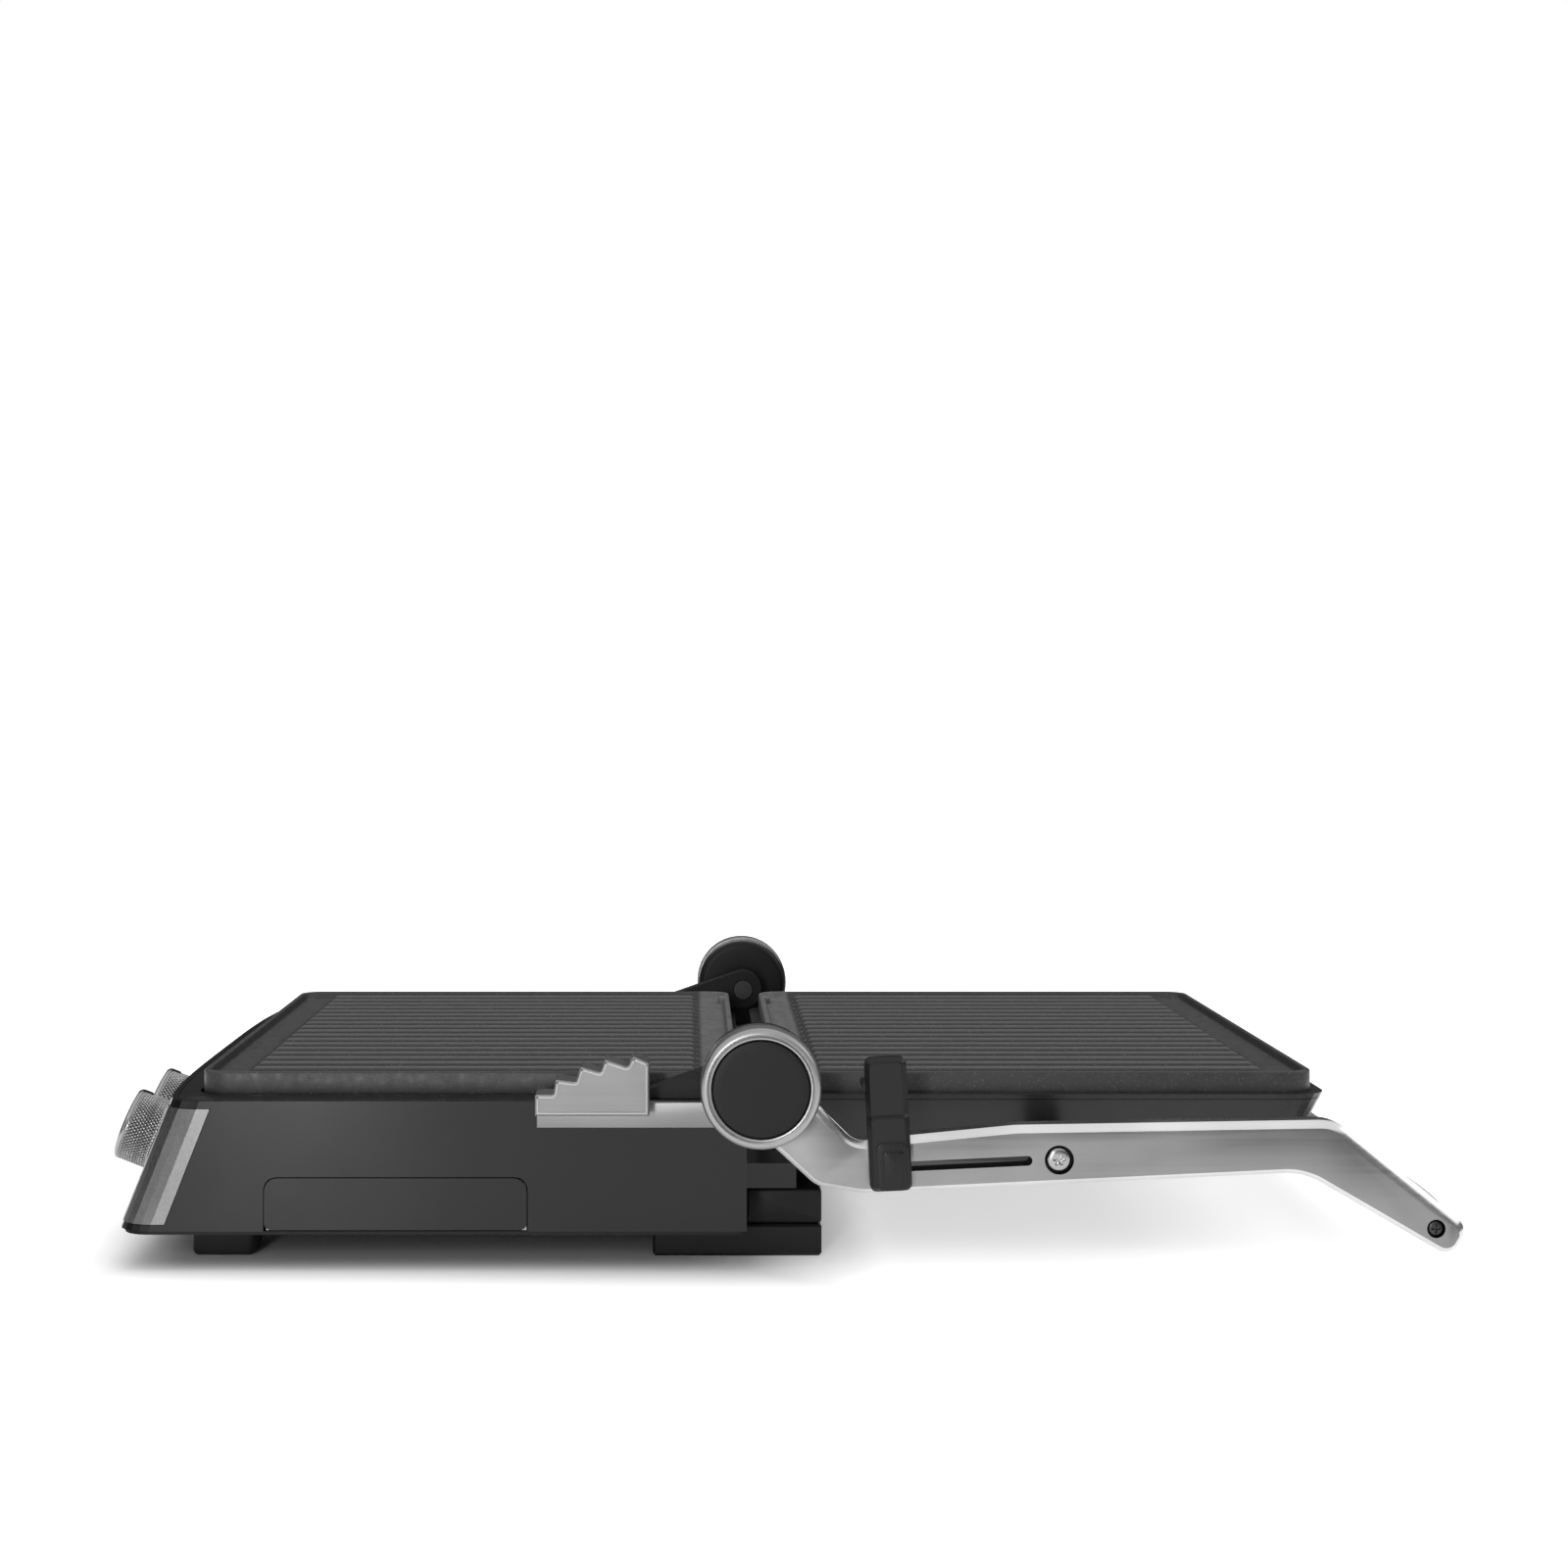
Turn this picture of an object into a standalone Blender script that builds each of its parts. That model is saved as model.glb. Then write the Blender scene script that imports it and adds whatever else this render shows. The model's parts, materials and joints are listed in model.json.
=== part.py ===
"""Contact grill whose lid opens flat, modelled as an assembly of separate pieces.

Metres, +Z up, the table at Z = 0. The controls face -Y and the open lid lies toward +Y.
Pieces are drawn in grill coordinates, whose Y = 0 is the hinge axis, and at the end the
whole grill is moved along Y until the origin is under the middle of its box.
"""
import math

import bmesh
import bpy
from mathutils import Matrix, Vector

# ---- fits -------------------------------------------------------------------------
GAP = 0.0003            # between pieces that touch
RUN = 0.0004            # round a piece that turns or slides in another
PARTING = 0.0005        # from each plate's top to the plane where the plates meet

# ---- hinge ------------------------------------------------------------------------
HINGE_Z = 0.082         # axis height, also the plane where the plates meet
PIN_RADIUS = 0.005
HUB_RADIUS = 0.0247
HUB_CAP = 0.015         # hub cap outside the arm
HUB_COVER = 0.0037      # dark cover on the inner side of each arm's eye
HUB_CLEAR = 0.0013      # strap to cover
BUTTON_RADIUS = 0.020
BUTTON_THICK = 0.0052
BUTTON_TRAVEL = 0.004
BUTTON_STEM = 0.004
SPRING_WIRE = 0.0007

# ---- plates -----------------------------------------------------------------------
PLATE_WIDTH = 0.306
PLATE_DEPTH = 0.230
PLATE_TALL = 0.0125
PLATE_CORNER = 0.011
PLATE_SETBACK = 0.008   # hinge axis to the plate's rear edge
PLATE_WALL = 0.004
PLATE_RIM = 0.0032      # rim above the grooves
PLATE_SKIN = 0.004      # metal under the grooves
RIDGE_PITCH = 0.0158
RIDGE_SIDE = 0.0187     # plate's side to the middle of the first ridge
RIDGE_WIDTH = 0.0076
RIDGE_CREST = 0.0034
RIDGE_TALL = 0.0028
RIDGE_FRONT = 0.017     # plate's front edge to the ridges
RIDGE_REAR = 0.016

# ---- base body --------------------------------------------------------------------
BASE_MARGIN = 0.017     # plate's side to the body's side
BASE_REAR = -0.005
BASE_LOW = 0.0165
BASE_HIGH = 0.0713
BASE_WALL = 0.0025
BASE_CORNER = 0.014
FRONT_MARGIN = 0.0205   # plate's front edge to the body's front corner at mid-height
FRONT_BOW = 0.0065
FRONT_BOW_POWER = 4     # how flat the bow's middle is
FRONT_LEAN = math.radians(21.5)
FRONT_STEPS = 12
FLOOR_THICK = 0.0018
DECK_THICK = 0.0022
DECK_RISE = 0.0008
DECK_SLOPE = 0.007      # width of the deck's sloping edge
DECK_CLEAR = 0.0016     # round the lower plate

# ---- front panel and controls -----------------------------------------------------
PANEL_LOW = 0.0195
PANEL_HIGH = 0.068
PANEL_SHEET = 0.0012
PANEL_PROUD = 0.0004
PANEL_WRAP = 0.018
KNOB_XS = {"right": 0.088, "left": 0.021}
KNOB_Z = 0.0425
KNOB_RADIUS = 0.0165
KNOB_TALL = 0.0165
KNOB_SKIRT = 0.0022
KNOB_SKIRT_RADIUS = 0.0182
KNOB_TEETH = 36
SHAFT_RADIUS = 0.003
CONTROL_RADIUS = 0.013
CONTROL_DEEP = 0.018

# ---- drip tray --------------------------------------------------------------------
TRAY_FRONT = -0.208
TRAY_REAR = -0.0975
TRAY_LOW = 0.0172
TRAY_HIGH = 0.039
TRAY_CORNER = 0.0055
TRAY_FOOT_CORNER = 0.003
TRAY_REACH = 0.235      # from its face to its far wall
TRAY_WALL = 0.0016
TRAY_FACE = 0.0030
RAIL_WIDTH = 0.004
RAIL_TALL = 0.009

# ---- feet and rear support --------------------------------------------------------
FOOT_FRONT = -0.244
FOOT_REAR = -0.217
FOOT_IN = 0.031         # body's side to the foot
FOOT_WIDTH = 0.024
SUPPORT_IN = 0.030      # body's side to the support's end
SUPPORT_REAR = 0.028
SUPPORT_SPLIT = 0.014
SUPPORT_HIGH = 0.029
SUPPORT_FLANGE = -0.045
BRACKET_REAR = 0.017
BRACKET_HIGH = 0.040
GLAND_RADIUS = 0.0042
GLAND_BORE = 0.0027
GLAND_X = -0.100

# ---- hinge brackets and height rack -----------------------------------------------
EYE_RADIUS = 0.0100
BRACKET_WIDE = 0.0130
BRACKET_FRONT = -0.046
RACK_SKIN = 0.0077      # strap
RACK_WIDE = 0.020
STRAP_EYE = 0.0130
STRAP_LOW = 0.0613
STRAP_HIGH = 0.0722
RACK_FRONT = -0.093
RACK_STEPS = (          # each tread: front edge, rear edge, height at each
    (-0.0930, -0.0855, 0.0770, 0.0770),
    (-0.0845, -0.0762, 0.0832, 0.0822),
    (-0.0742, -0.0660, 0.0886, 0.0862),
    (-0.0640, -0.0548, 0.0915, 0.0884),
    (-0.0524, -0.0457, 0.0929, 0.0900),
)

# ---- lid arms and handle ----------------------------------------------------------
ARM_THICK = 0.012
HANDLE_OVERHANG = 0.052  # plate's front edge to the arm's tip
ARM_ROOT_Y = 0.045
ARM_ROOT_TOP = -0.0236
ARM_SPAN_TOP = -0.0208
ARM_ROOT_LOW = -0.0449
ARM_CRANK = 0.0528       # arm's tip to its elbow
ARM_ELBOW_TOP = -0.0146
ARM_ELBOW_LOW = -0.0363
ARM_TIP_TOP = -0.0589
ARM_TIP_LOW = -0.0716
HANDLE_WIDE = 0.034
HANDLE_THICK = 0.0175
HANDLE_LEAN = math.radians(-37.0)
TIP_SCREW_IN = 0.0120   # arm's tip to its screw
TIP_SCREW_Z = -0.0593
TIP_HEAD = 0.0032
TIP_HEAD_TALL = 0.0030
TIP_SHANK = 0.0021
TIP_LENGTH = 0.022
TIP_RECESS = 0.0035
PIVOT_Z = -0.031
PIVOT_HEAD = 0.0050
PIVOT_HEAD_TALL = 0.0035
PIVOT_SHANK = 0.003
PIVOT_GRIP = 0.0054      # pivot screw inside the head's boss
PIVOT_RECESS = 0.006
PIVOT_BUSH = 0.0068
SCREW_SUNK = 0.0004     # screw heads below the arm's face

# ---- latch ------------------------------------------------------------------------
SLOT_START = (0.049, -0.0342)
SLOT_LEAN = math.radians(2.7)
SLOT_SPAN = 0.061       # between the centres of its round ends
SLOT_TALL = 0.004
LATCH_WIDTH = 0.0172
LATCH_THICK = 0.0097
LATCH_LOW = -0.0085
LATCH_HIGH = 0.0460
LATCH_CREASE = 0.0235
LATCH_TRAVEL = 0.056
LUG_RADIUS = 0.0018
LUG_OVER = 0.0087       # lug across the rack's top
LUG_BACK = 0.0012       # how far the lug's centre stands ahead of the latch's edge
RETAINER_THICK = 0.0025

# ---- lid head ---------------------------------------------------------------------
HEAD_DEEP = 0.044       # parting plane to the head's back
HEAD_DROP = 0.0095      # parting plane to the head's rim
HEAD_RIM = 0.005        # rim outside the plate's edge
HEAD_RIM_TALL = 0.0022
HEAD_SIDE_SLOPE = 0.014
HEAD_FRONT_SLOPE = 0.014
HEAD_REAR_SLOPE = 0.026
HEAD_ROUND = 0.004
RIM_CLEAR = 0.0003
HEAD_WALL = 0.0020
HEAD_CORNER = 0.014
BOSS_RADIUS = 0.0078
BOSS_PROUD = 0.008      # boss outside the head's rim
BOSS_IN = 0.010         # boss inside the line of the plate's side

# ---- heating ----------------------------------------------------------------------
ELEMENT_RADIUS = 0.0032
ELEMENT_INSET = 0.035
REFLECTOR_DEEP = 0.009
REFLECTOR_SHEET = 0.0008
REFLECTOR_EDGE = 0.007

# ---- plate release buttons --------------------------------------------------------
RELEASE_X = 0.115
RELEASE_WIDTH = 0.022
RELEASE_TALL = 0.0052
RELEASE_DEEP = 0.0080
RELEASE_PROUD = 0.0030
RELEASE_TRAVEL = 0.003
RELEASE_LEDGE = 0.0016  # deck left between the catch's slot and the plate
RELEASE_DROP = 0.0095   # head's rim to the middle of its release

# ---- worked out -------------------------------------------------------------------
BASE_HALF = PLATE_WIDTH / 2 + BASE_MARGIN
RIDGE_COUNT = round((PLATE_WIDTH - 2 * RIDGE_SIDE) / RIDGE_PITCH) + 1
PLATE_FRONT = PLATE_SETBACK + PLATE_DEPTH
PLATE_MID = PLATE_SETBACK + PLATE_DEPTH / 2
FRONT_CORNER_Y = PLATE_FRONT + FRONT_MARGIN
FRONT_REF_Z = (PANEL_LOW + PANEL_HIGH) / 2
ARM_REACH = PLATE_FRONT + HANDLE_OVERHANG
FOOT_OUTER_X = BASE_HALF - FOOT_IN
SUPPORT_HALF = BASE_HALF - SUPPORT_IN
BRACKET_INNER_X = BASE_HALF - BRACKET_WIDE
STRAP_OUTER_X = BASE_HALF + GAP + RACK_SKIN
RACK_OUTER_X = BASE_HALF + RACK_WIDE
HUB_COVER_X = STRAP_OUTER_X + HUB_CLEAR
ARM_INNER_X = HUB_COVER_X + HUB_COVER
ARM_OUTER_X = ARM_INNER_X + ARM_THICK
HUB_OUTER_X = ARM_OUTER_X + HUB_CAP
BOSS_OUTER_X = PLATE_WIDTH / 2 + HEAD_RIM + BOSS_PROUD
PIVOT_LENGTH = ARM_OUTER_X - SCREW_SUNK - BOSS_OUTER_X + PIVOT_GRIP
HEAD_TOP = HINGE_Z - HEAD_DROP
HEAD_BACK = HINGE_Z - HEAD_DEEP
DECK_HIGH = BASE_HIGH + DECK_RISE
REFLECTOR_TOP = HINGE_Z - PARTING - PLATE_TALL - GAP

ELEMENT_Z = HINGE_Z - PARTING - PLATE_RIM - PLATE_SKIN - ELEMENT_RADIUS - GAP
BRACKET_MID_Z = (SUPPORT_HIGH + BRACKET_HIGH) / 2

FINISHES = {            # colour, roughness, metallic
    "gloss_black": ((0.012, 0.012, 0.013), 0.16, 0.0),
    "satin_black": ((0.022, 0.022, 0.023), 0.45, 0.0),
    "dark_grey": ((0.045, 0.045, 0.047), 0.42, 0.0),
    "graphite": ((0.030, 0.031, 0.033), 0.24, 0.1),
    "non_stick": ((0.040, 0.041, 0.043), 0.50, 0.25),
    "stainless": ((0.62, 0.62, 0.63), 0.26, 1.0),
    "aluminium": ((0.52, 0.53, 0.54), 0.30, 1.0),
    "light_metal": ((0.46, 0.47, 0.48), 0.34, 0.9),
    "bright_steel": ((0.66, 0.66, 0.67), 0.18, 1.0),
    "zinc": ((0.42, 0.43, 0.44), 0.40, 0.9),
    "brass": ((0.55, 0.42, 0.20), 0.35, 1.0),
    "rubber": ((0.018, 0.018, 0.019), 0.80, 0.0),
    "element": ((0.09, 0.085, 0.08), 0.55, 0.8),
}


# ---- outlines ---------------------------------------------------------------------
def spaced(low, high, count):
    """Evenly spaced values from low to high, count steps apart."""
    return [low + (high - low) * i / count for i in range(count + 1)]


def arc(centre, radius, start, end, count):
    """Points along an arc, angles in radians."""
    return [
        (centre[0] + radius * math.cos(a), centre[1] + radius * math.sin(a))
        for a in spaced(start, end, count)
    ]


def corner_arc(before, corner, after, radius, count):
    """The arc that rounds one corner, tangent to both of its sides."""
    here = Vector(corner)
    to_before = (Vector(before) - here).normalized()
    to_after = (Vector(after) - here).normalized()
    half = to_before.angle(to_after) / 2
    reach = radius / math.tan(half)
    centre = here + (to_before + to_after).normalized() * (radius / math.sin(half))
    first = here + to_before * reach - centre
    last = here + to_after * reach - centre
    turn = first.angle_signed(last)
    points = []
    for share in spaced(0.0, 1.0, count):
        points.append(tuple(centre + Matrix.Rotation(-turn * share, 2) @ first))
    return points


def rounded(points, radii, count=4, closed=True):
    """A polygon, or an open run, with each corner rounded by its radius."""
    out = []
    size = len(points)
    for i, (point, radius) in enumerate(zip(points, radii)):
        at_end = not closed and i in (0, size - 1)
        if radius <= 0.0 or at_end:
            out.append(tuple(point))
            continue
        out += corner_arc(points[i - 1], point, points[(i + 1) % size], radius, count)
    return out


def rounded_box(x_half, y_low, y_high, radius, count=4):
    """A rectangle centred on X = 0, with equal round corners."""
    points = [(-x_half, y_low), (x_half, y_low), (x_half, y_high), (-x_half, y_high)]
    return rounded(points, [radius] * 4, count)


# ---- meshes -----------------------------------------------------------------------
def skin(sections, closed=False):
    """A solid through equal cross-sections, capped at both ends unless closed."""
    bm = bmesh.new()
    rings = [[bm.verts.new(p) for p in section] for section in sections]
    count = len(rings[0])
    pairs = list(zip(rings, rings[1:]))
    if closed:
        pairs.append((rings[-1], rings[0]))
    for here, there in pairs:
        for i in range(count):
            j = (i + 1) % count
            bm.faces.new((here[i], here[j], there[j], there[i]))
    if not closed:
        bm.faces.new(rings[0])
        bm.faces.new(reversed(rings[-1]))
    bmesh.ops.recalc_face_normals(bm, faces=bm.faces)
    return bm


def prism_x(outline, low, high):
    """A (Y, Z) outline extruded along X."""
    return skin([[(x, y, z) for y, z in outline] for x in (low, high)])


def prism_z(outline, low, high):
    """An (X, Y) outline extruded along Z."""
    return skin([[(x, y, z) for x, y in outline] for z in (low, high)])


def box(x, y, z):
    """A block between the two values given for each axis."""
    return prism_z([(x[0], y[0]), (x[1], y[0]), (x[1], y[1]), (x[0], y[1])], *z)


def turned(profile, count=32):
    """A closed (radius, height) profile turned about Z."""
    sections = []
    for a in spaced(0.0, math.tau, count)[:-1]:
        sections.append([(r * math.cos(a), r * math.sin(a), h) for r, h in profile])
    bm = skin(sections, closed=True)
    bmesh.ops.remove_doubles(bm, verts=bm.verts, dist=1e-7)
    loose = [e for e in bm.edges if not e.link_faces]
    bmesh.ops.delete(bm, geom=loose, context="EDGES")
    bmesh.ops.recalc_face_normals(bm, faces=bm.faces)
    return bm


def rod(radius, low, high, count=24):
    """A plain cylinder on Z."""
    return turned([(0, low), (radius, low), (radius, high), (0, high)], count)


def sleeve(inner, outer, low, high, count=32):
    """A cylinder on Z with a bore through it."""
    return turned([(inner, low), (outer, low), (outer, high), (inner, high)], count)


def tube(frames, radius, sides=8):
    """A round bar through (centre, across, up) frames."""
    sections = []
    for centre, across, up in frames:
        section = []
        for a in spaced(0.0, math.tau, sides)[:-1]:
            section.append(centre + across * (radius * math.cos(a)) + up * (radius * math.sin(a)))
        sections.append(section)
    return skin(sections)


def along_x(bm, y, z, side=1):
    """Turns a solid's Z axis onto +X, or -X, and moves it to a line at (Y, Z)."""
    bm.transform(Matrix.Translation((0, y, z)) @ Matrix.Rotation(math.pi / 2 * side, 4, "Y"))
    return bm


def flipped(bm, axis):
    """A solid mirrored across the plane through the origin that the axis is normal to."""
    bm.transform(Matrix.Scale(-1.0, 4, axis))
    bmesh.ops.reverse_faces(bm, faces=bm.faces)
    return bm


def sided(bm, side):
    """A solid drawn for the right side, mirrored for the left when side is -1."""
    return bm if side > 0 else flipped(bm, (1, 0, 0))


def joined(*parts):
    """Several solids in one mesh, for a Boolean to read."""
    whole = bmesh.new()
    for part in parts:
        mesh = bpy.data.meshes.new("joined")
        part.to_mesh(mesh)
        whole.from_mesh(mesh)
        part.free()
        bpy.data.meshes.remove(mesh)
    return whole


# ---- scene ------------------------------------------------------------------------
def clear_scene():
    """Removes whatever the file opened with."""
    for obj in list(bpy.data.objects):
        bpy.data.objects.remove(obj, do_unlink=True)


def frame(name, place, parent=None):
    """An empty at a moving body's joint, given relative to the hinge."""
    empty = bpy.data.objects.new(name, None)
    bpy.context.scene.collection.objects.link(empty)
    if parent:
        empty.parent = parent
    bpy.context.view_layer.update()
    empty.matrix_world = place
    bpy.context.view_layer.update()
    return empty


def material(name, finish):
    """A Principled material with one of the named finishes."""
    colour, roughness, metallic = FINISHES[finish]
    mat = bpy.data.materials.new(name)
    mat.use_nodes = True
    shader = mat.node_tree.nodes["Principled BSDF"]
    shader.inputs["Base Color"].default_value = (*colour, 1.0)
    shader.inputs["Roughness"].default_value = roughness
    shader.inputs["Metallic"].default_value = metallic
    return mat


def add(name, bm, body, finish):
    """A named piece on a body, from a mesh drawn in grill coordinates."""
    bm.transform(body.matrix_world.inverted())
    mesh = bpy.data.meshes.new(name)
    bm.to_mesh(mesh)
    bm.free()
    mesh.shade_smooth()
    mesh.set_sharp_from_angle(angle=math.radians(35))
    obj = bpy.data.objects.new(name, mesh)
    bpy.context.scene.collection.objects.link(obj)
    obj.parent = body
    if finish:
        mesh.materials.append(material(name + "_finish", finish))
    return obj


def combine(obj, bm, operation="DIFFERENCE"):
    """Cuts a piece with a solid, or joins the solid to it."""
    guide = add(f"{obj.name}_{operation.lower()}_{len(obj.modifiers)}", bm, obj.parent, None)
    guide.hide_render = True
    guide.display_type = "WIRE"
    change = obj.modifiers.new(operation.title(), "BOOLEAN")
    change.operation = operation
    change.solver = "EXACT"
    change.object = guide
    return obj


def bevel(obj, width, segments=1):
    """Breaks a piece's sharp edges."""
    change = obj.modifiers.new("Bevel", "BEVEL")
    change.width = width
    change.segments = segments
    change.limit_method = "ANGLE"
    change.angle_limit = math.radians(50)
    return obj


# ---- base -------------------------------------------------------------------------
def front_y(x, z):
    """Y of the body's bowed, leaning front at a place across it and a height."""
    bow = FRONT_BOW * (1 - (x / BASE_HALF) ** FRONT_BOW_POWER)
    return -(FRONT_CORNER_Y + bow) + (z - FRONT_REF_Z) * math.tan(FRONT_LEAN)


def front_run(z, inset, back):
    """The front's outline at one height, open, ending at Y = back on each side."""
    half = BASE_HALF - inset
    bow = [(x, front_y(x, z) + inset) for x in spaced(-half, half, FRONT_STEPS)]
    run = [(-half, back)] + bow + [(half, back)]
    radius = BASE_CORNER - inset
    radii = [0.0, radius] + [0.0] * (FRONT_STEPS - 1) + [radius, 0.0]
    return rounded(run, radii, 5, closed=False)


def body_plan(z, inset):
    """The body's whole outline at one height."""
    return front_run(z, inset, BASE_REAR - inset)


def body_wall(low, high, outer, inner):
    """A wall between two insets of the body's outline."""
    sections = []
    plans = [body_plan(low, outer), body_plan(high, outer), body_plan(high, inner), body_plan(low, inner)]
    for a, b, c, d in zip(*plans):
        sections.append([(*a, low), (*b, high), (*c, high), (*d, low)])
    return skin(sections, closed=True)


def body_slab(low, high, inset):
    """A slab that fills the body's outline."""
    return skin([[(*p, z) for p in body_plan(z, inset)] for z in (low, high)])


def panel_band(low, high, outer, inner, wrap):
    """A strip of the front between two insets, wrapped round both corners."""
    back = {z: front_y(BASE_HALF, z) + wrap for z in (low, high)}
    runs = [front_run(z, inset, back[z]) for inset, z in
            ((outer, low), (outer, high), (inner, high), (inner, low))]
    heights = (low, high, high, low)
    return skin([[(*p, z) for p, z in zip(points, heights)] for points in zip(*runs)])


def knob_place(x):
    """The frame of one control: origin on the panel, Z out of it."""
    slope = FRONT_BOW_POWER * FRONT_BOW * x ** (FRONT_BOW_POWER - 1) / BASE_HALF ** FRONT_BOW_POWER
    out = Vector((slope, -1.0, math.tan(FRONT_LEAN))).normalized()
    origin = Vector((x, front_y(x, KNOB_Z), KNOB_Z)) + out * PANEL_PROUD
    return Matrix.Translation(origin) @ out.to_track_quat("Z", "X").to_matrix().to_4x4()


def plate_outline(inset):
    """The plate's outline in plan, with Y measured from its own middle."""
    half_y = PLATE_DEPTH / 2 - inset
    return rounded_box(PLATE_WIDTH / 2 - inset, -half_y, half_y, max(PLATE_CORNER - inset, 0.002), 5)


def ridge(x, low, front, rear):
    """One ridge: a block that narrows upward, with sloping ends."""
    sections = []
    for z, half, end in ((low, RIDGE_WIDTH / 2, 0.0), (low + RIDGE_TALL, RIDGE_CREST / 2, RIDGE_TALL)):
        y0, y1 = front + end, rear - end
        sections.append([(x - half, y0, z), (x + half, y0, z), (x + half, y1, z), (x - half, y1, z)])
    return skin(sections)


def plate(name, body, rear_y, turn):
    """A ribbed cooking plate, hollow underneath, lying on one side of the hinge."""
    top = HINGE_Z - PARTING
    floor = top - PLATE_RIM
    obj = add(name, moved(prism_z(plate_outline(0), top - PLATE_TALL, top), rear_y, turn), body,
            "non_stick")
    sunk = prism_z(plate_outline(PLATE_WALL), floor, top + 0.01)
    hollow = prism_z(plate_outline(PLATE_WALL), top - PLATE_TALL - 0.01, floor - PLATE_SKIN)
    combine(obj, moved(joined(sunk, hollow), rear_y, turn))
    front = -PLATE_DEPTH / 2 + RIDGE_FRONT
    rear = PLATE_DEPTH / 2 - RIDGE_REAR
    first = -RIDGE_PITCH * (RIDGE_COUNT - 1) / 2
    ridges = [ridge(first + RIDGE_PITCH * i, floor - 0.0005, front, rear) for i in range(RIDGE_COUNT)]
    combine(obj, moved(joined(*ridges), rear_y, turn), "UNION")
    return obj


def moved(bm, rear_y, turn):
    """Moves a solid drawn round a plate's middle to its plate; turn is 1 or -1 along Y."""
    if turn < 0:
        flipped(bm, (0, 1, 0))
    bm.transform(Matrix.Translation((0, rear_y, 0)))
    return bm


def heater(y_mid, z):
    """A bent tubular element, open toward the hinge."""
    half_x = PLATE_WIDTH / 2 - ELEMENT_INSET
    half_y = PLATE_DEPTH / 2 - ELEMENT_INSET
    run = [(-0.012, half_y), (-half_x, half_y), (-half_x, -half_y), (half_x, -half_y), (half_x, half_y),
            (0.012, half_y)]
    points = rounded(run, [0, 0.025, 0.025, 0.025, 0.025, 0], 5, closed=False)
    frames = []
    for i, here in enumerate(points):
        ahead = Vector(points[min(i + 1, len(points) - 1)])
        behind = Vector(points[max(i - 1, 0)])
        run_way = (ahead - behind).normalized()
        frames.append((Vector((here[0], y_mid + here[1], z)), Vector((-run_way.y, run_way.x, 0)),
                Vector((0, 0, 1))))
    return tube(frames, ELEMENT_RADIUS, 8)


def reflector(y_mid, rim_z, way):
    """A shallow sheet pan behind an element; way is -1 for a pan that hangs down."""
    deep = rim_z + way * REFLECTOR_DEEP
    steps = (
        (REFLECTOR_EDGE + REFLECTOR_DEEP, deep),
        (REFLECTOR_EDGE, rim_z),
        (REFLECTOR_EDGE + REFLECTOR_SHEET * 1.5, rim_z),
        (REFLECTOR_EDGE + REFLECTOR_DEEP + REFLECTOR_SHEET, deep - way * REFLECTOR_SHEET),
    )
    return skin([[(x, y_mid + y, z) for x, y in plate_outline(inset)] for inset, z in steps])


def tray_mouth():
    """Side outline of the opening that the tray's face closes, open at the bottom."""
    y0, y1, top = TRAY_FRONT - RUN, TRAY_REAR + RUN, TRAY_HIGH + RUN
    return rounded([(y0, 0.0), (y1, 0.0), (y1, top), (y0, top)], [0.0, 0.0, TRAY_CORNER, TRAY_CORNER], 5)


def build_body(base):
    """Outer shell, front panel, deck and floor."""
    shell = add("base_shell", body_wall(BASE_LOW, BASE_HIGH, 0.0, BASE_WALL), base, "gloss_black")
    recess = panel_band(PANEL_LOW - GAP, PANEL_HIGH + GAP, -0.004, PANEL_SHEET - PANEL_PROUD + GAP,
            PANEL_WRAP + GAP)
    combine(shell, recess)
    combine(shell, prism_x(tray_mouth(), BASE_HALF - 0.02, BASE_HALF + 0.01))
    band = panel_band(PANEL_LOW, PANEL_HIGH, -PANEL_PROUD, PANEL_SHEET - PANEL_PROUD, PANEL_WRAP)
    panel = add("front_panel", band, base, "stainless")
    for x in KNOB_XS.values():
        for wall in (shell, panel):
            combine(wall, placed(rod(SHAFT_RADIUS + RUN, -0.02, 0.02), knob_place(x)))
    floor = body_slab(BASE_LOW - FLOOR_THICK, BASE_LOW - GAP, BASE_WALL)
    add("base_floor", floor, base, "satin_black")
    deck = build_deck(base)
    inlet = along_y(sleeve(GLAND_BORE, GLAND_RADIUS, BASE_REAR + GAP, BRACKET_REAR - 0.002), GLAND_X,
            BRACKET_MID_Z)
    add("cord_gland", inlet, base, "rubber")
    combine(shell, along_y(rod(GLAND_BORE, BASE_REAR - 0.01, BASE_REAR + 0.01), GLAND_X, BRACKET_MID_Z))
    return deck


def build_deck(base):
    """Frame that closes the body's top round the lower plate, rising toward it."""
    edge = BASE_WALL + GAP
    levels = ((BASE_HIGH - DECK_THICK, edge), (BASE_HIGH, edge), (DECK_HIGH, edge + DECK_SLOPE))
    slab = skin([[(*p, z) for p in body_plan(BASE_HIGH, inset)] for z, inset in levels])
    deck = add("base_deck", slab, base, "dark_grey")
    hole = [(x, y - PLATE_MID) for x, y in plate_outline(-DECK_CLEAR)]
    return combine(deck, prism_z(hole, BASE_HIGH - 0.02, BASE_HIGH + 0.02))


def placed(bm, place):
    """Moves a solid drawn in a local frame into grill coordinates."""
    bm.transform(place)
    return bm


def along_y(bm, x, z):
    """Turns a solid's Z axis onto +Y, and moves it to a line at (X, Z)."""
    bm.transform(Matrix.Translation((x, 0, z)) @ Matrix.Rotation(-math.pi / 2, 4, "X"))
    return bm


def build_lower_grill(base):
    """Plate, element and reflector of the base."""
    plate("lower_plate", base, -PLATE_MID, 1)
    add("lower_element", heater(-PLATE_MID, ELEMENT_Z), base, "element")
    add("lower_reflector", reflector(-PLATE_MID, REFLECTOR_TOP, -1), base, "bright_steel")


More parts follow.
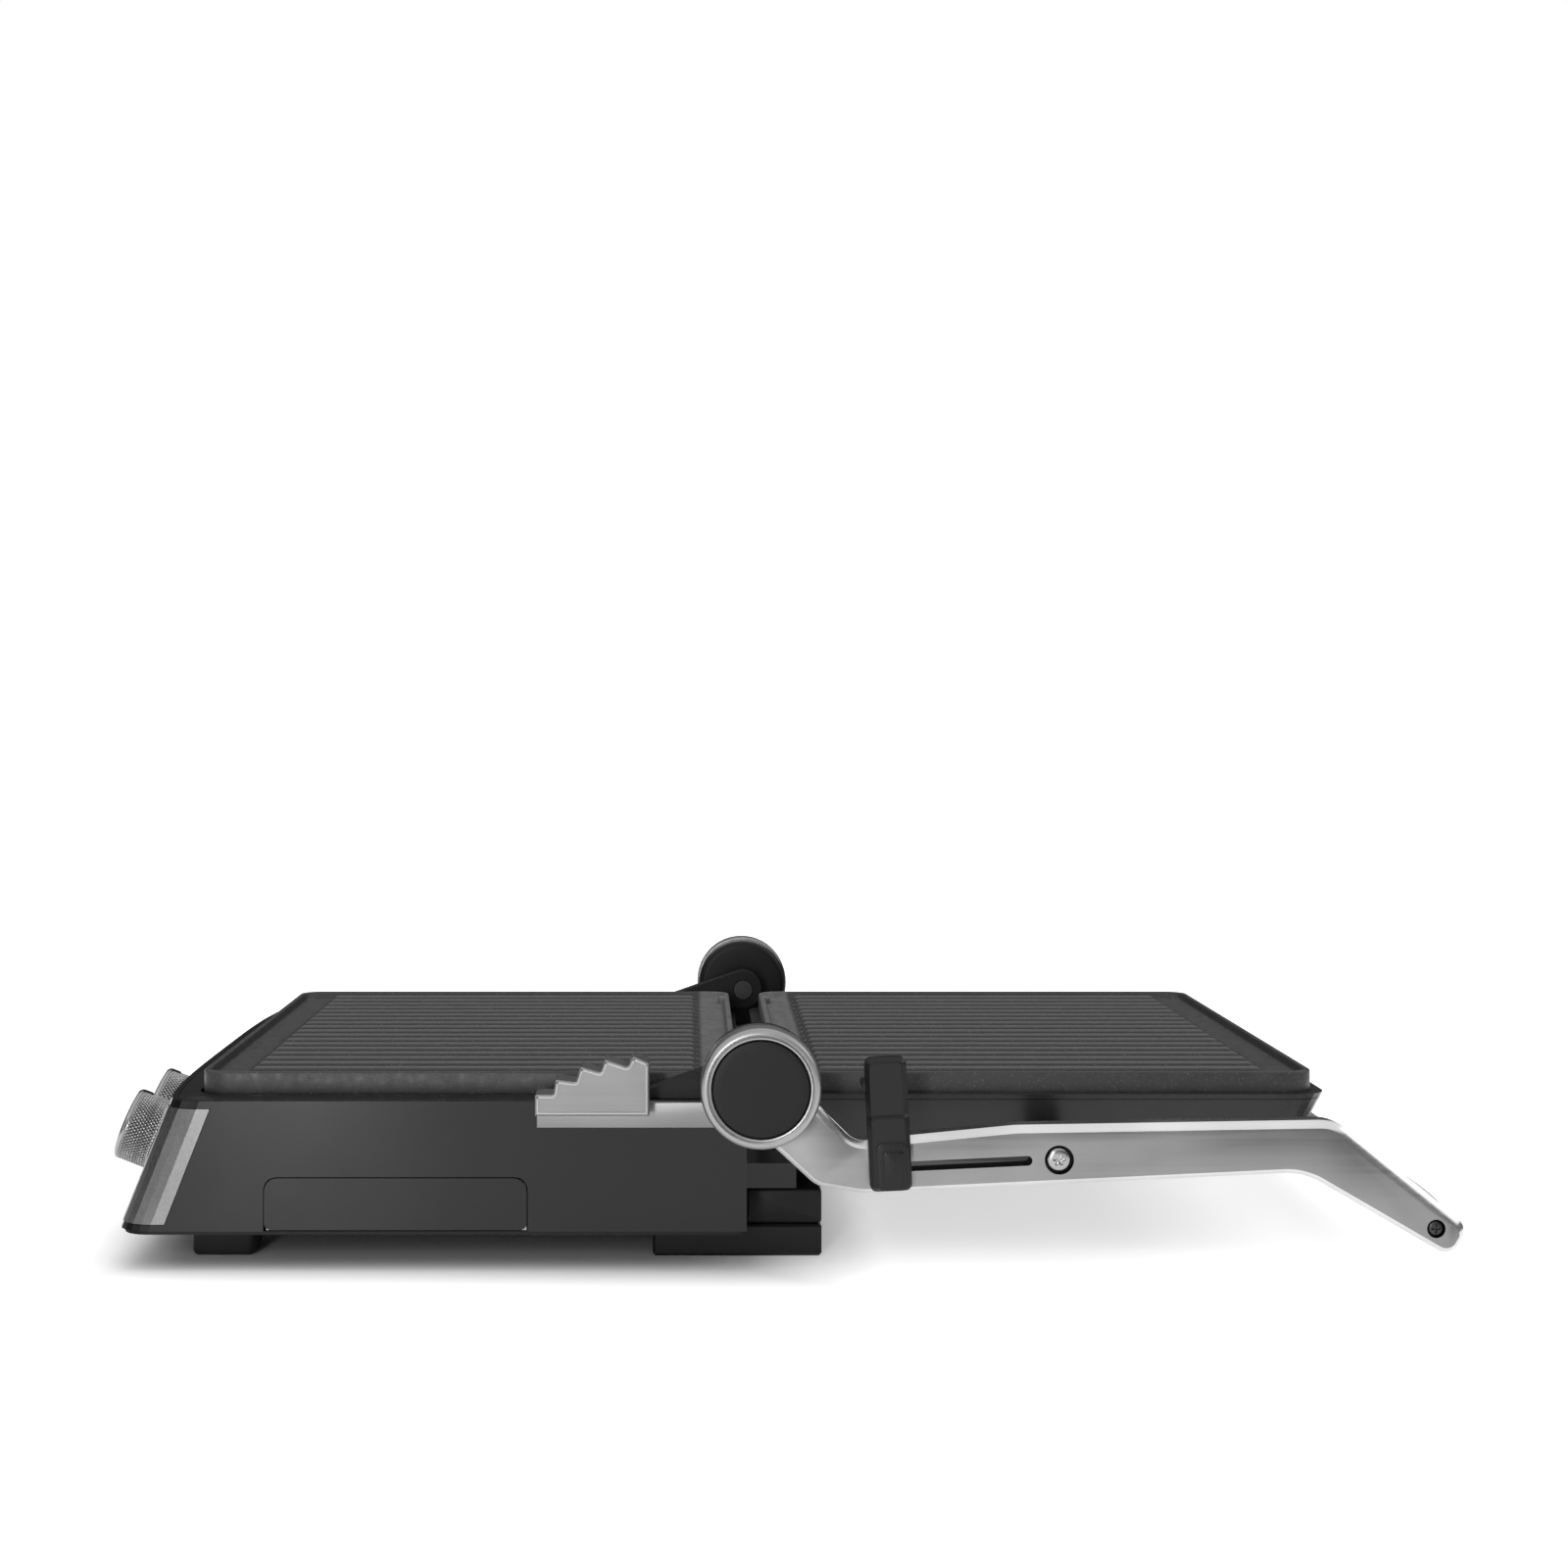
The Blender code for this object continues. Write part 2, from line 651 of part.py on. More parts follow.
def build_supports(base):
    """Front feet, rear foot bar, rear support and the glossy bracket above it."""
    for side, word in ((1, "right"), (-1, "left")):
        foot = box((FOOT_OUTER_X - FOOT_WIDTH, FOOT_OUTER_X), (FOOT_FRONT, FOOT_REAR), (0.0,
                BASE_LOW - FLOOR_THICK - GAP))
        bevel(add(f"front_foot_{word}", sided(foot, side), base, "rubber"), 0.0015)
    ledge = [(SUPPORT_FLANGE, 0.0), (SUPPORT_REAR, 0.0), (SUPPORT_REAR, SUPPORT_SPLIT - GAP),
            (SUPPORT_FLANGE, SUPPORT_SPLIT - GAP)]
    bar = add("rear_foot_bar", prism_x(ledge, -SUPPORT_HALF, SUPPORT_HALF), base, "satin_black")
    combine(bar, box((-0.11, 0.11), (SUPPORT_FLANGE - 0.01, SUPPORT_REAR + 0.01), (-0.01, 0.004)))
    bevel(bar, 0.0012)
    rear = BASE_REAR + GAP
    block = box((-SUPPORT_HALF, SUPPORT_HALF), (rear, SUPPORT_REAR), (SUPPORT_SPLIT, SUPPORT_HIGH))
    support = add("rear_support", block, base, "satin_black")
    inner = box((-SUPPORT_HALF + BASE_WALL, SUPPORT_HALF - BASE_WALL), (rear + BASE_WALL,
            SUPPORT_REAR - BASE_WALL), (0.0, SUPPORT_HIGH - BASE_WALL))
    combine(support, inner)
    shelf = box((-SUPPORT_HALF, SUPPORT_HALF), (rear, BRACKET_REAR), (SUPPORT_HIGH + GAP, BRACKET_HIGH))
    bracket = add("rear_bracket", shelf, base, "gloss_black")
    combine(bracket, along_y(rod(GLAND_RADIUS + GAP, rear - 0.01, BRACKET_REAR + 0.01), GLAND_X,
            BRACKET_MID_Z))


def build_hinge(base):
    """Brackets on the body, the pins through them, and the height rack."""
    for side, word in ((1, "right"), (-1, "left")):
        eye = arc((0, HINGE_Z), EYE_RADIUS, math.radians(-100), math.radians(110), 12)
        foot = DECK_HIGH + GAP
        outline = eye + [(BRACKET_FRONT, foot + 0.004), (BRACKET_FRONT, foot), (BASE_REAR - BASE_WALL,
                foot)]
        bracket = add(f"hinge_bracket_{word}", sided(prism_x(outline, BRACKET_INNER_X, BASE_HALF - GAP),
                side), base, "satin_black")
        bore = along_x(rod(PIN_RADIUS + GAP, BRACKET_INNER_X - 0.01, BASE_HALF + 0.01), 0, HINGE_Z, side)
        combine(bracket, bore)
        pin = along_x(rod(PIN_RADIUS, BRACKET_INNER_X - 0.002, ARM_OUTER_X - GAP), 0, HINGE_Z, side)
        add(f"hinge_pin_{word}", pin, base, "bright_steel")
    strap_x = (BASE_HALF + GAP, STRAP_OUTER_X)
    eye = arc((0, HINGE_Z), STRAP_EYE, math.radians(-90), math.radians(130), 14)
    outline = [(RACK_FRONT, STRAP_LOW), (-0.012, STRAP_LOW)] + eye + [(-0.024, STRAP_HIGH), (RACK_FRONT,
            STRAP_HIGH)]
    rack = add("height_rack", prism_x(outline, *strap_x), base, "light_metal")
    treads = []
    for front, rear, z0, z1 in RACK_STEPS:
        treads += [(front, z0), (rear, z1)]
    steps = [(RACK_FRONT, STRAP_HIGH - 0.006)] + treads + [(RACK_STEPS[-1][1], STRAP_HIGH - 0.006)]
    combine(rack, prism_x(steps, BASE_HALF + GAP + 0.002, RACK_OUTER_X), "UNION")
    combine(rack, along_x(rod(PIN_RADIUS + GAP, BASE_HALF - 0.01, BASE_HALF + 0.02), 0, HINGE_Z))


def build_controls(base):
    """Thermostat and timer behind the panel, their shafts, skirts and knobs."""
    for word, x in KNOB_XS.items():
        place = knob_place(x)
        behind = -(BASE_WALL + 0.0015)
        part = "thermostat" if word == "left" else "timer"
        can = placed(sleeve(SHAFT_RADIUS + RUN, CONTROL_RADIUS, behind - CONTROL_DEEP, behind, 20), place)
        add(f"{part}_body", can, base, "zinc")
        skirt = sleeve(SHAFT_RADIUS + RUN, KNOB_SKIRT_RADIUS, GAP, KNOB_SKIRT)
        add(f"{part}_skirt", placed(skirt, place), base, "gloss_black")
        turning = frame(f"{part}_axis", place, base)
        shaft = placed(rod(SHAFT_RADIUS, behind - CONTROL_DEEP, KNOB_SKIRT + KNOB_TALL * 0.7, 12), place)
        add(f"{part}_shaft", shaft, turning, "brass")
        low = KNOB_SKIRT + GAP
        high = KNOB_SKIRT + KNOB_TALL
        bore = SHAFT_RADIUS + GAP
        profile = [(bore, low), (KNOB_RADIUS, low), (KNOB_RADIUS, high - 0.0015), (KNOB_RADIUS - 0.0015,
                high),
                   (0, high), (0, KNOB_SKIRT + KNOB_TALL * 0.7 + GAP), (bore,
                           KNOB_SKIRT + KNOB_TALL * 0.7 + GAP)]
        knob = add(f"{part}_knob", placed(turned(profile, KNOB_TEETH), place), turning, "bright_steel")
        mark = box((-0.0009, 0.0009), (KNOB_RADIUS * 0.35, KNOB_RADIUS * 1.2), (high - 0.0008, high + 0.01))
        combine(knob, placed(mark, place))


def build_tray(base):
    """Drip tray that slides out on the right, and its two rails."""
    sliding = frame("tray_axis", Matrix.Translation((BASE_HALF, (TRAY_FRONT + TRAY_REAR) / 2,
            TRAY_LOW)), base)
    far = BASE_HALF - TRAY_REACH
    y0, y1 = TRAY_FRONT, TRAY_REAR
    face = rounded([(y0, TRAY_LOW), (y1, TRAY_LOW), (y1, TRAY_HIGH), (y0, TRAY_HIGH)],
            [TRAY_FOOT_CORNER, TRAY_FOOT_CORNER, TRAY_CORNER, TRAY_CORNER], 5)
    tray = add("drip_tray", prism_x(face, BASE_HALF - TRAY_FACE, BASE_HALF + PANEL_PROUD), sliding,
            "gloss_black")
    side = RAIL_WIDTH + RUN
    pan = box((far, BASE_HALF - TRAY_FACE / 2), (y0 + side, y1 - side), (TRAY_LOW,
            TRAY_HIGH - TRAY_CORNER / 2))
    combine(tray, pan, "UNION")
    hollow = box((far + TRAY_WALL, BASE_HALF - TRAY_FACE), (y0 + side + TRAY_WALL,
            y1 - side - TRAY_WALL), (TRAY_LOW + TRAY_WALL, TRAY_HIGH + 0.01))
    combine(tray, hollow)
    for word, y in (("front", y0 + RUN), ("rear", y1 - RAIL_WIDTH + RUN / 2)):
        rail = box((far, BASE_HALF - TRAY_FACE - RUN), (y, y + RAIL_WIDTH - RUN * 1.5), (BASE_LOW,
                BASE_LOW + RAIL_TALL))
        add(f"tray_rail_{word}", rail, base, "zinc")


# ---- lid --------------------------------------------------------------------------
def arm_outline():
    """Side profile of an arm: the eye round the hinge, the bar and the cranked tip."""
    reach = ARM_REACH
    eye = arc((0, 0), HUB_RADIUS, math.radians(-82), math.radians(-378), 28)
    bar = [
        eye[-1], (0.0390, ARM_ROOT_TOP), (0.064, ARM_SPAN_TOP), (0.105, ARM_SPAN_TOP + 0.0040),
        (reach - ARM_CRANK, ARM_ELBOW_TOP), (reach + 0.0020, ARM_TIP_TOP),
        (reach - 0.0055, ARM_TIP_LOW), (reach - ARM_CRANK - 0.0135, ARM_ELBOW_LOW),
        (0.042, ARM_ROOT_LOW), (0.023, -0.0418), eye[0],
    ]
    radii = [0.0, 0.010, 0.030, 0.060, 0.020, 0.0065, 0.0065, 0.028, 0.020, 0.012, 0.0]
    outline = eye[1:-1] + rounded(bar, radii, 4, closed=False)
    return [(y, z + HINGE_Z) for y, z in outline]


def build_arms(lid):
    """Arms with their hub caps, covers, bushes and screws."""
    pivot = (PLATE_MID, HINGE_Z + PIVOT_Z)
    tip = (ARM_REACH - TIP_SCREW_IN, HINGE_Z + TIP_SCREW_Z)
    for side, word in ((1, "right"), (-1, "left")):
        arm = add(f"arm_{word}", sided(prism_x(arm_outline(), ARM_INNER_X, ARM_OUTER_X), side), lid,
                "aluminium")
        combine(arm, along_x(rod(PIN_RADIUS + RUN, ARM_INNER_X - 0.01, ARM_OUTER_X + 0.01), 0, HINGE_Z,
                side))
        combine(arm, screw_hole(*pivot, side, PIVOT_SHANK, PIVOT_RECESS, PIVOT_HEAD_TALL))
        combine(arm, screw_hole(*tip, side, TIP_SHANK, TIP_RECESS, TIP_HEAD_TALL))
        if side > 0:
            combine(arm, slot_cut())
        bushing = sleeve(PIVOT_SHANK + GAP, PIVOT_BUSH, BOSS_OUTER_X + RUN, ARM_INNER_X - GAP, 20)
        add(f"pivot_bush_{word}", along_x(bushing, *pivot, side), lid, "satin_black")
        bolt = screw(PIVOT_HEAD, PIVOT_SHANK, PIVOT_HEAD_TALL, PIVOT_LENGTH)
        add(f"pivot_screw_{word}", along_x(bolt, *pivot, side), lid, "bright_steel")
        bolt = screw(TIP_HEAD, TIP_SHANK, TIP_HEAD_TALL, TIP_LENGTH)
        add(f"tip_screw_{word}", along_x(bolt, *tip, side), lid, "bright_steel")
        build_hub(lid, side, word)


def screw(head, shank, tall, length):
    """A screw on Z with its head just under the arm's outer face, and a socket in the head."""
    top = ARM_OUTER_X - SCREW_SUNK
    under = top - tall
    socket = top - tall * 0.6
    profile = [
        (0, socket), (head * 0.45, socket), (head * 0.45, top), (head, top),
        (head, under), (shank, under), (shank, top - length), (0, top - length),
    ]
    return turned(profile, 12)


def screw_hole(y, z, side, shank, recess, tall):
    """What a screw takes out of an arm: its shank's hole and its head's recess."""
    floor = ARM_OUTER_X - SCREW_SUNK - tall - GAP
    low, high = ARM_INNER_X - 0.01, ARM_OUTER_X + 0.01
    profile = [(0, low), (shank + GAP, low), (shank + GAP, floor), (recess, floor), (recess, high), (0,
            high)]
    return along_x(turned(profile, 20), y, z, side)


def build_hub(lid, side, word):
    """Hub cap outside an arm's eye, the cover inside it, the spring and the push button."""
    floor = ARM_OUTER_X + GAP
    seat = floor + 0.0047
    cap = [(BUTTON_STEM + RUN, floor), (HUB_RADIUS, floor), (HUB_RADIUS, HUB_OUTER_X - 0.0015),
            (HUB_RADIUS - 0.0015, HUB_OUTER_X),
           (BUTTON_RADIUS + RUN, HUB_OUTER_X), (BUTTON_RADIUS + RUN, seat), (BUTTON_STEM + RUN, seat)]
    add(f"hub_cap_{word}", along_x(turned(cap, 40), 0, HINGE_Z, side), lid, "aluminium")
    cover = [(PIN_RADIUS + RUN, HUB_COVER_X), (HUB_RADIUS - 0.002, HUB_COVER_X), (HUB_RADIUS - 0.0005,
            HUB_COVER_X + 0.0015),
             (HUB_RADIUS - 0.0005, ARM_INNER_X - GAP), (PIN_RADIUS + RUN, ARM_INNER_X - GAP)]
    add(f"hub_cover_{word}", along_x(turned(cover, 32), 0, HINGE_Z, side), lid, "satin_black")
    top = HUB_OUTER_X - 0.0003
    under = top - BUTTON_THICK
    button = [(0, top), (BUTTON_RADIUS - 0.001, top), (BUTTON_RADIUS, top - 0.001), (BUTTON_RADIUS,
            under), (BUTTON_STEM, under),
              (BUTTON_STEM, ARM_OUTER_X + BUTTON_TRAVEL + GAP), (0, ARM_OUTER_X + BUTTON_TRAVEL + GAP)]
    pushing = frame(f"hub_button_axis_{word}", Matrix.Translation((side * HUB_OUTER_X, 0, HINGE_Z)), lid)
    add(f"hub_button_{word}", along_x(turned(button, 32), 0, HINGE_Z, side), pushing, "satin_black")
    coil = spring(seat + SPRING_WIRE + GAP, under - SPRING_WIRE - GAP, 0.011, 2.0)
    add(f"hub_spring_{word}", along_x(coil, 0, HINGE_Z, side), lid, "bright_steel")


def spring(low, high, radius, turns):
    """A coil spring on Z."""
    frames = []
    for share in spaced(0.0, 1.0, int(turns * 12)):
        a = math.tau * turns * share
        out = Vector((math.cos(a), math.sin(a), 0.0))
        frames.append((out * radius + Vector((0, 0, low + (high - low) * share)), out, Vector((0, 0, 1))))
    return tube(frames, SPRING_WIRE, 6)


def build_handle(lid):
    """Flattened oval bar between the arms' tips."""
    centre = (ARM_REACH - 0.0195, HINGE_Z - 0.0515)
    half_w, half_t = HANDLE_WIDE / 2, HANDLE_THICK / 2
    turn = Matrix.Rotation(HANDLE_LEAN, 2)
    oval = []
    for a in spaced(0.0, math.tau, 24)[:-1]:
        c, s = math.cos(a), math.sin(a)
        point = Vector((half_w * math.copysign(abs(c) ** 0.8, c), half_t * math.copysign(abs(s) ** 0.8, s)))
        oval.append(tuple(turn @ point + Vector(centre)))
    half = ARM_INNER_X - GAP
    bar = add("handle_bar", prism_x(oval, -half, half), lid, "aluminium")
    for side in (1, -1):
        hole = rod(TIP_SHANK + GAP, ARM_OUTER_X - SCREW_SUNK - TIP_LENGTH - GAP, half + 0.01, 16)
        combine(bar, along_x(hole, ARM_REACH - TIP_SCREW_IN, HINGE_Z + TIP_SCREW_Z, side))


# ---- latch ------------------------------------------------------------------------
def slot_place():
    """The latch's frame: origin at the slot's hinge end, X along the slot, Y up from it."""
    c, s = math.cos(SLOT_LEAN), math.sin(SLOT_LEAN)
    y, z = SLOT_START
    return Matrix(((0, 0, 1, 0), (c, -s, 0, y), (s, c, 0, z + HINGE_Z), (0, 0, 0, 1)))


def slot_cut():
    """The long slot through the right arm."""
    half = SLOT_TALL / 2
    ends = arc((SLOT_SPAN, 0), half, -math.pi / 2, math.pi / 2, 8) + arc((0, 0), half, math.pi / 2,
            math.pi * 1.5, 8)
    return placed(prism_z(ends, ARM_INNER_X - 0.01, ARM_OUTER_X + 0.01), slot_place())


def build_latch(lid):
    """Slider outside the right arm, its lug over the rack, and the plate that retains it."""
    place = slot_place()
    sliding = frame("latch_axis", place, lid)
    left = -SLOT_TALL / 2 - 0.0025
    right = left + LATCH_WIDTH
    near = ARM_OUTER_X + GAP
    far = near + LATCH_THICK
    lower = rounded([(left, LATCH_LOW), (right, LATCH_LOW), (right, LATCH_CREASE), (left,
            LATCH_CREASE)], [0.003, 0.003, 0, 0])
    upper = rounded([(left, LATCH_CREASE - 0.001), (right, LATCH_CREASE - 0.001), (right, LATCH_HIGH),
            (left, LATCH_HIGH)], [0, 0, 0.003, 0.003])
    latch = add("latch_slider", placed(prism_z(lower, near, far), place), sliding, "dark_grey")
    combine(latch, placed(prism_z(upper, near, far - 0.0012), place), "UNION")
    frame_box = rounded([(left + 0.005, LATCH_LOW + 0.001), (right - 0.001, LATCH_LOW + 0.001),
            (right - 0.001, LATCH_LOW + 0.019), (left + 0.005, LATCH_LOW + 0.019)], [0.002] * 4)
    combine(latch, placed(prism_z(frame_box, far - 0.001, far + 0.001), place), "UNION")
    reach = SLOT_SPAN - LATCH_TRAVEL
    stem = box((0.0, reach), (-SLOT_TALL / 2 + RUN, SLOT_TALL / 2 - RUN), (ARM_INNER_X, near + 0.001))
    combine(latch, placed(stem, place), "UNION")
    lug_z = LATCH_HIGH - 0.012
    lug = rod(LUG_RADIUS, RACK_OUTER_X - LUG_OVER, near + 0.002, 16)
    lug.transform(Matrix.Translation((left + LUG_RADIUS - LUG_BACK, lug_z, 0)))
    combine(latch, placed(lug, place), "UNION")
    keeper = box((-0.004, reach + 0.004), (-0.0055, 0.0055), (ARM_INNER_X - GAP - RETAINER_THICK,
            ARM_INNER_X - GAP))
    add("latch_retainer", placed(keeper, place), sliding, "zinc")


# ---- head -------------------------------------------------------------------------
def head_outline(z, inset):
    """The head's outline in plan at a height; its sides slope in from the rim to the back."""
    share = (HEAD_TOP - z) / (HEAD_TOP - HEAD_BACK)
    half = PLATE_WIDTH / 2 + HEAD_RIM - HEAD_SIDE_SLOPE * share - inset
    rear = PLATE_SETBACK - HEAD_RIM + HEAD_REAR_SLOPE * share + inset
    front = PLATE_FRONT + HEAD_RIM - HEAD_FRONT_SLOPE * share - inset
    return rounded_box(half, rear, front, HEAD_CORNER - inset, 5)


def head_shell(levels):
    """A solid through the head's outlines at (height, inset) levels."""
    return skin([[(*p, z) for p in head_outline(z, inset)] for z, inset in levels])


def build_head(head):
    """Housing, rim, plate, reflector and element of the lid."""
    rim = HEAD_TOP - HEAD_RIM_TALL
    levels = (
        (HEAD_BACK, HEAD_ROUND), (HEAD_BACK + HEAD_ROUND, 0.0), (rim - GAP, 0.0),
        (rim - GAP, HEAD_WALL), (HEAD_BACK + HEAD_ROUND, HEAD_WALL), (HEAD_BACK + HEAD_WALL,
                HEAD_WALL + HEAD_ROUND),
    )
    housing = add("head_housing", head_shell(levels), head, "graphite")
    pivot = (PLATE_MID, HINGE_Z + PIVOT_Z)
    for side in (1, -1):
        boss = rod(BOSS_RADIUS, PLATE_WIDTH / 2 - BOSS_IN, BOSS_OUTER_X, 24)
        combine(housing, along_x(boss, *pivot, side), "UNION")
        bore = rod(PIVOT_SHANK + RUN, PLATE_WIDTH / 2 - BOSS_IN - 0.01, BOSS_OUTER_X + 0.01, 16)
        combine(housing, along_x(bore, *pivot, side))
    bezel = add("head_rim", head_shell(((rim, 0.0), (HEAD_TOP, 0.0))), head, "graphite")
    hole = [(x, y + PLATE_MID) for x, y in plate_outline(-RIM_CLEAR)]
    combine(bezel, prism_z(hole, rim - 0.01, HEAD_TOP + 0.01))
    plate("upper_plate", head, PLATE_MID, -1)
    add("upper_element", moved(heater(0.0, ELEMENT_Z), PLATE_MID, -1), head, "element")
    add("upper_reflector", reflector(PLATE_MID, REFLECTOR_TOP, -1), head, "bright_steel")
    return housing


# ---- plate releases ---------------------------------------------------------------
def build_releases(base, head, housing, deck):
    """The sprung catch that lets each plate go: one in the deck, one in the lid's front."""
    half = RELEASE_WIDTH / 2
    slot = half + RUN
    low = DECK_HIGH + RELEASE_PROUD - RELEASE_DEEP
    near = -PLATE_FRONT - DECK_CLEAR - RELEASE_LEDGE
    far = near - RELEASE_TALL
    catch = frame("lower_release_axis", Matrix.Translation((-RELEASE_X, far, DECK_HIGH)), base)
    knob = box((-RELEASE_X - half, -RELEASE_X + half), (far, near), (low, DECK_HIGH + RELEASE_PROUD))
    bevel(add("lower_plate_release", knob, catch, "satin_black"), 0.0008)
    room = box((-RELEASE_X - slot, -RELEASE_X + slot), (far - RELEASE_TRAVEL - RUN, near + RUN),
            (low - 0.01, DECK_HIGH + 0.01))
    combine(deck, room)
    mid_z = HEAD_TOP - RELEASE_DROP
    face = PLATE_FRONT + HEAD_RIM - HEAD_FRONT_SLOPE * RELEASE_DROP / (HEAD_TOP - HEAD_BACK)
    button = frame("upper_release_axis", Matrix.Translation((RELEASE_X, face, mid_z)), head)
    z = (mid_z - RELEASE_TALL / 2, mid_z + RELEASE_TALL / 2)
    knob = box((RELEASE_X - half, RELEASE_X + half), (face + RELEASE_PROUD - RELEASE_DEEP,
            face + RELEASE_PROUD), z)
    bevel(add("upper_plate_release", knob, button, "satin_black"), 0.0008)
    room = box((RELEASE_X - slot, RELEASE_X + slot), (face - HEAD_WALL * 3, face + 0.02), (z[0] - RUN,
            z[1] + RUN))
    combine(housing, room)


def centre(base):
    """Moves the whole grill along Y until the origin is under the middle of its box."""
    bpy.context.view_layer.update()
    graph = bpy.context.evaluated_depsgraph_get()
    reach = []
    for obj in bpy.data.objects:
        if obj.type == "MESH" and not obj.hide_render:
            shape = obj.evaluated_get(graph)
            reach += [(shape.matrix_world @ Vector(corner)).y for corner in shape.bound_box]
    base.location.y -= (min(reach) + max(reach)) / 2
    bpy.context.view_layer.update()


def main():
    """Builds the grill."""
    clear_scene()
    base = frame("base_frame", Matrix.Identity(4))
    lid = frame("lid_axis", Matrix.Translation((0, 0, HINGE_Z)), base)
    head = frame("head_axis", Matrix.Translation((0, PLATE_MID, HINGE_Z + PIVOT_Z)), lid)
    deck = build_body(base)
    build_lower_grill(base)
    build_supports(base)
    build_hinge(base)
    build_controls(base)
    build_tray(base)
    build_arms(lid)
    build_handle(lid)
    build_latch(lid)
    housing = build_head(head)
    build_releases(base, head, housing, deck)
    centre(base)


main()
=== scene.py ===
"""Contact grill opened flat, dressed for a studio picture.

Metres, +Z up, the table at Z = 0. The controls face -Y, the open lid lies toward +Y, and the
drip tray, the height rack and the latch are at +X. Every new piece is a surface worked out with
numpy: an outline carried through (inset, height) levels, a profile turned about an axis, or a
height over a grid. Its place is in its mesh, so each object stays at the origin.
"""
import json
import logging
import math
from collections.abc import Callable, Sequence
from dataclasses import dataclass
from enum import Enum

import bpy
import numpy as np
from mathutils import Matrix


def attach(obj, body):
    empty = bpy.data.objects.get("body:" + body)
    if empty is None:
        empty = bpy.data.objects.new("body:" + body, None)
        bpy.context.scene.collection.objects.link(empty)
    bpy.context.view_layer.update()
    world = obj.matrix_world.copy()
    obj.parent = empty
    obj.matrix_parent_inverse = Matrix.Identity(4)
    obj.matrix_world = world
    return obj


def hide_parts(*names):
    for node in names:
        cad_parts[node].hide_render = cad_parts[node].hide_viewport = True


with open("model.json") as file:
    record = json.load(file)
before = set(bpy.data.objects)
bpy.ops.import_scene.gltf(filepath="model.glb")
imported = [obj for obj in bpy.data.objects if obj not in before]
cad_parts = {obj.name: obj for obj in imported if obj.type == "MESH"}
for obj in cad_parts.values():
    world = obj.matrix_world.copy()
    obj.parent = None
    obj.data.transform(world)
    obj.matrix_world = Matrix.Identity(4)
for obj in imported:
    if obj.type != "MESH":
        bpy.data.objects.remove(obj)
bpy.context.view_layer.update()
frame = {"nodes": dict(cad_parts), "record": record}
LOG = logging.getLogger("grill")

HINGE_Y = -0.000317     # the hinge axis, along X
HINGE_Z = 0.082
BASE_HALF = 0.170
ARM_INNER = 0.183
ARM_OUTER = 0.195
HUB_OUTER = 0.210
PLATE_MID = 0.123       # hinge axis to each plate's middle
ARM_REACH = 0.290       # hinge axis to the arms' tips
PIVOT = (HINGE_Y + PLATE_MID, 0.051)
TIP_SCREW = (HINGE_Y + ARM_REACH - 0.012, 0.0227)

Array = np.ndarray
Solid = tuple[Array, list]


# ---- outlines ---------------------------------------------------------------------
def rounded(points: Sequence, radii: Sequence, steps: int = 8) -> Array:
    """A closed polygon with each corner replaced by an arc tangent to its two sides.

    Args:
        points: corners, counter-clockwise.
        radii: one radius for each corner, 0 for a sharp one.
        steps: segments in each arc.

    Returns:
        The outline's points, one row each.
    """
    corners = np.asarray(points, float)
    runs = []
    for i, radius in enumerate(radii):
        here = corners[i]
        if radius <= 0.0:
            runs.append(here[None])
            continue
        back = corners[i - 1] - here
        ahead = corners[(i + 1) % len(corners)] - here
        back /= np.linalg.norm(back)
        ahead /= np.linalg.norm(ahead)
        half = math.acos(float(np.clip(back @ ahead, -1.0, 1.0))) / 2
        middle = here + (back + ahead) / np.linalg.norm(back + ahead) * radius / math.sin(half)
        first = here + back * radius / math.tan(half) - middle
        last = here + ahead * radius / math.tan(half) - middle
        turn = math.atan2(first[0] * last[1] - first[1] * last[0], float(first @ last))
        angle = np.linspace(0.0, turn, steps + 1)
        c, s = np.cos(angle), np.sin(angle)
        runs.append(middle + np.stack([c * first[0] - s * first[1], s * first[0] + c * first[1]], 1))
    return np.concatenate(runs)


def rectangle(u: tuple, v: tuple, radius: float, steps: int = 6) -> Array:
    """A rectangle between two values each way, with equal round corners."""
    corners = [(u[0], v[0]), (u[1], v[0]), (u[1], v[1]), (u[0], v[1])]
    return rounded(corners, [radius] * 4, steps)


def drawn_in(loop: Array, inset: Array | float) -> Array:
    """A counter-clockwise outline moved inward: each point goes along the mean of its two
    sides' normals, lengthened so that both sides move by the inset."""
    edge = np.roll(loop, -1, 0) - loop
    edge /= np.maximum(np.linalg.norm(edge, axis=1, keepdims=True), 1e-12)
    normal = np.stack([edge[:, 1], -edge[:, 0]], 1)
    before = np.roll(normal, 1, 0)
    spread = 1.0 + np.sum(normal * before, 1, keepdims=True)
    return loop - inset * (normal + before) / np.maximum(spread, 0.4)


def fillet(low: float, high: float, radius: float, steps: int = 4, foot: float | None = None) -> list:
    """(Inset, height) levels of a block whose top and foot edges are quarter circles.

    Args:
        low: height of the foot.
        high: height of the top.
        radius: radius of the top edge.
        steps: segments in each quarter.
        foot: radius of the foot edge, the same as the top's if left out.

    Returns:
        Levels from the foot to the top.
    """
    foot = radius if foot is None else foot
    quarter = np.linspace(0.0, math.pi / 2, steps + 1)
    rising = [(foot * (1 - math.sin(a)), low + foot * (1 - math.cos(a))) for a in quarter]
    falling = [(radius * (1 - math.cos(a)), high - radius * (1 - math.sin(a))) for a in quarter]
    return rising + falling


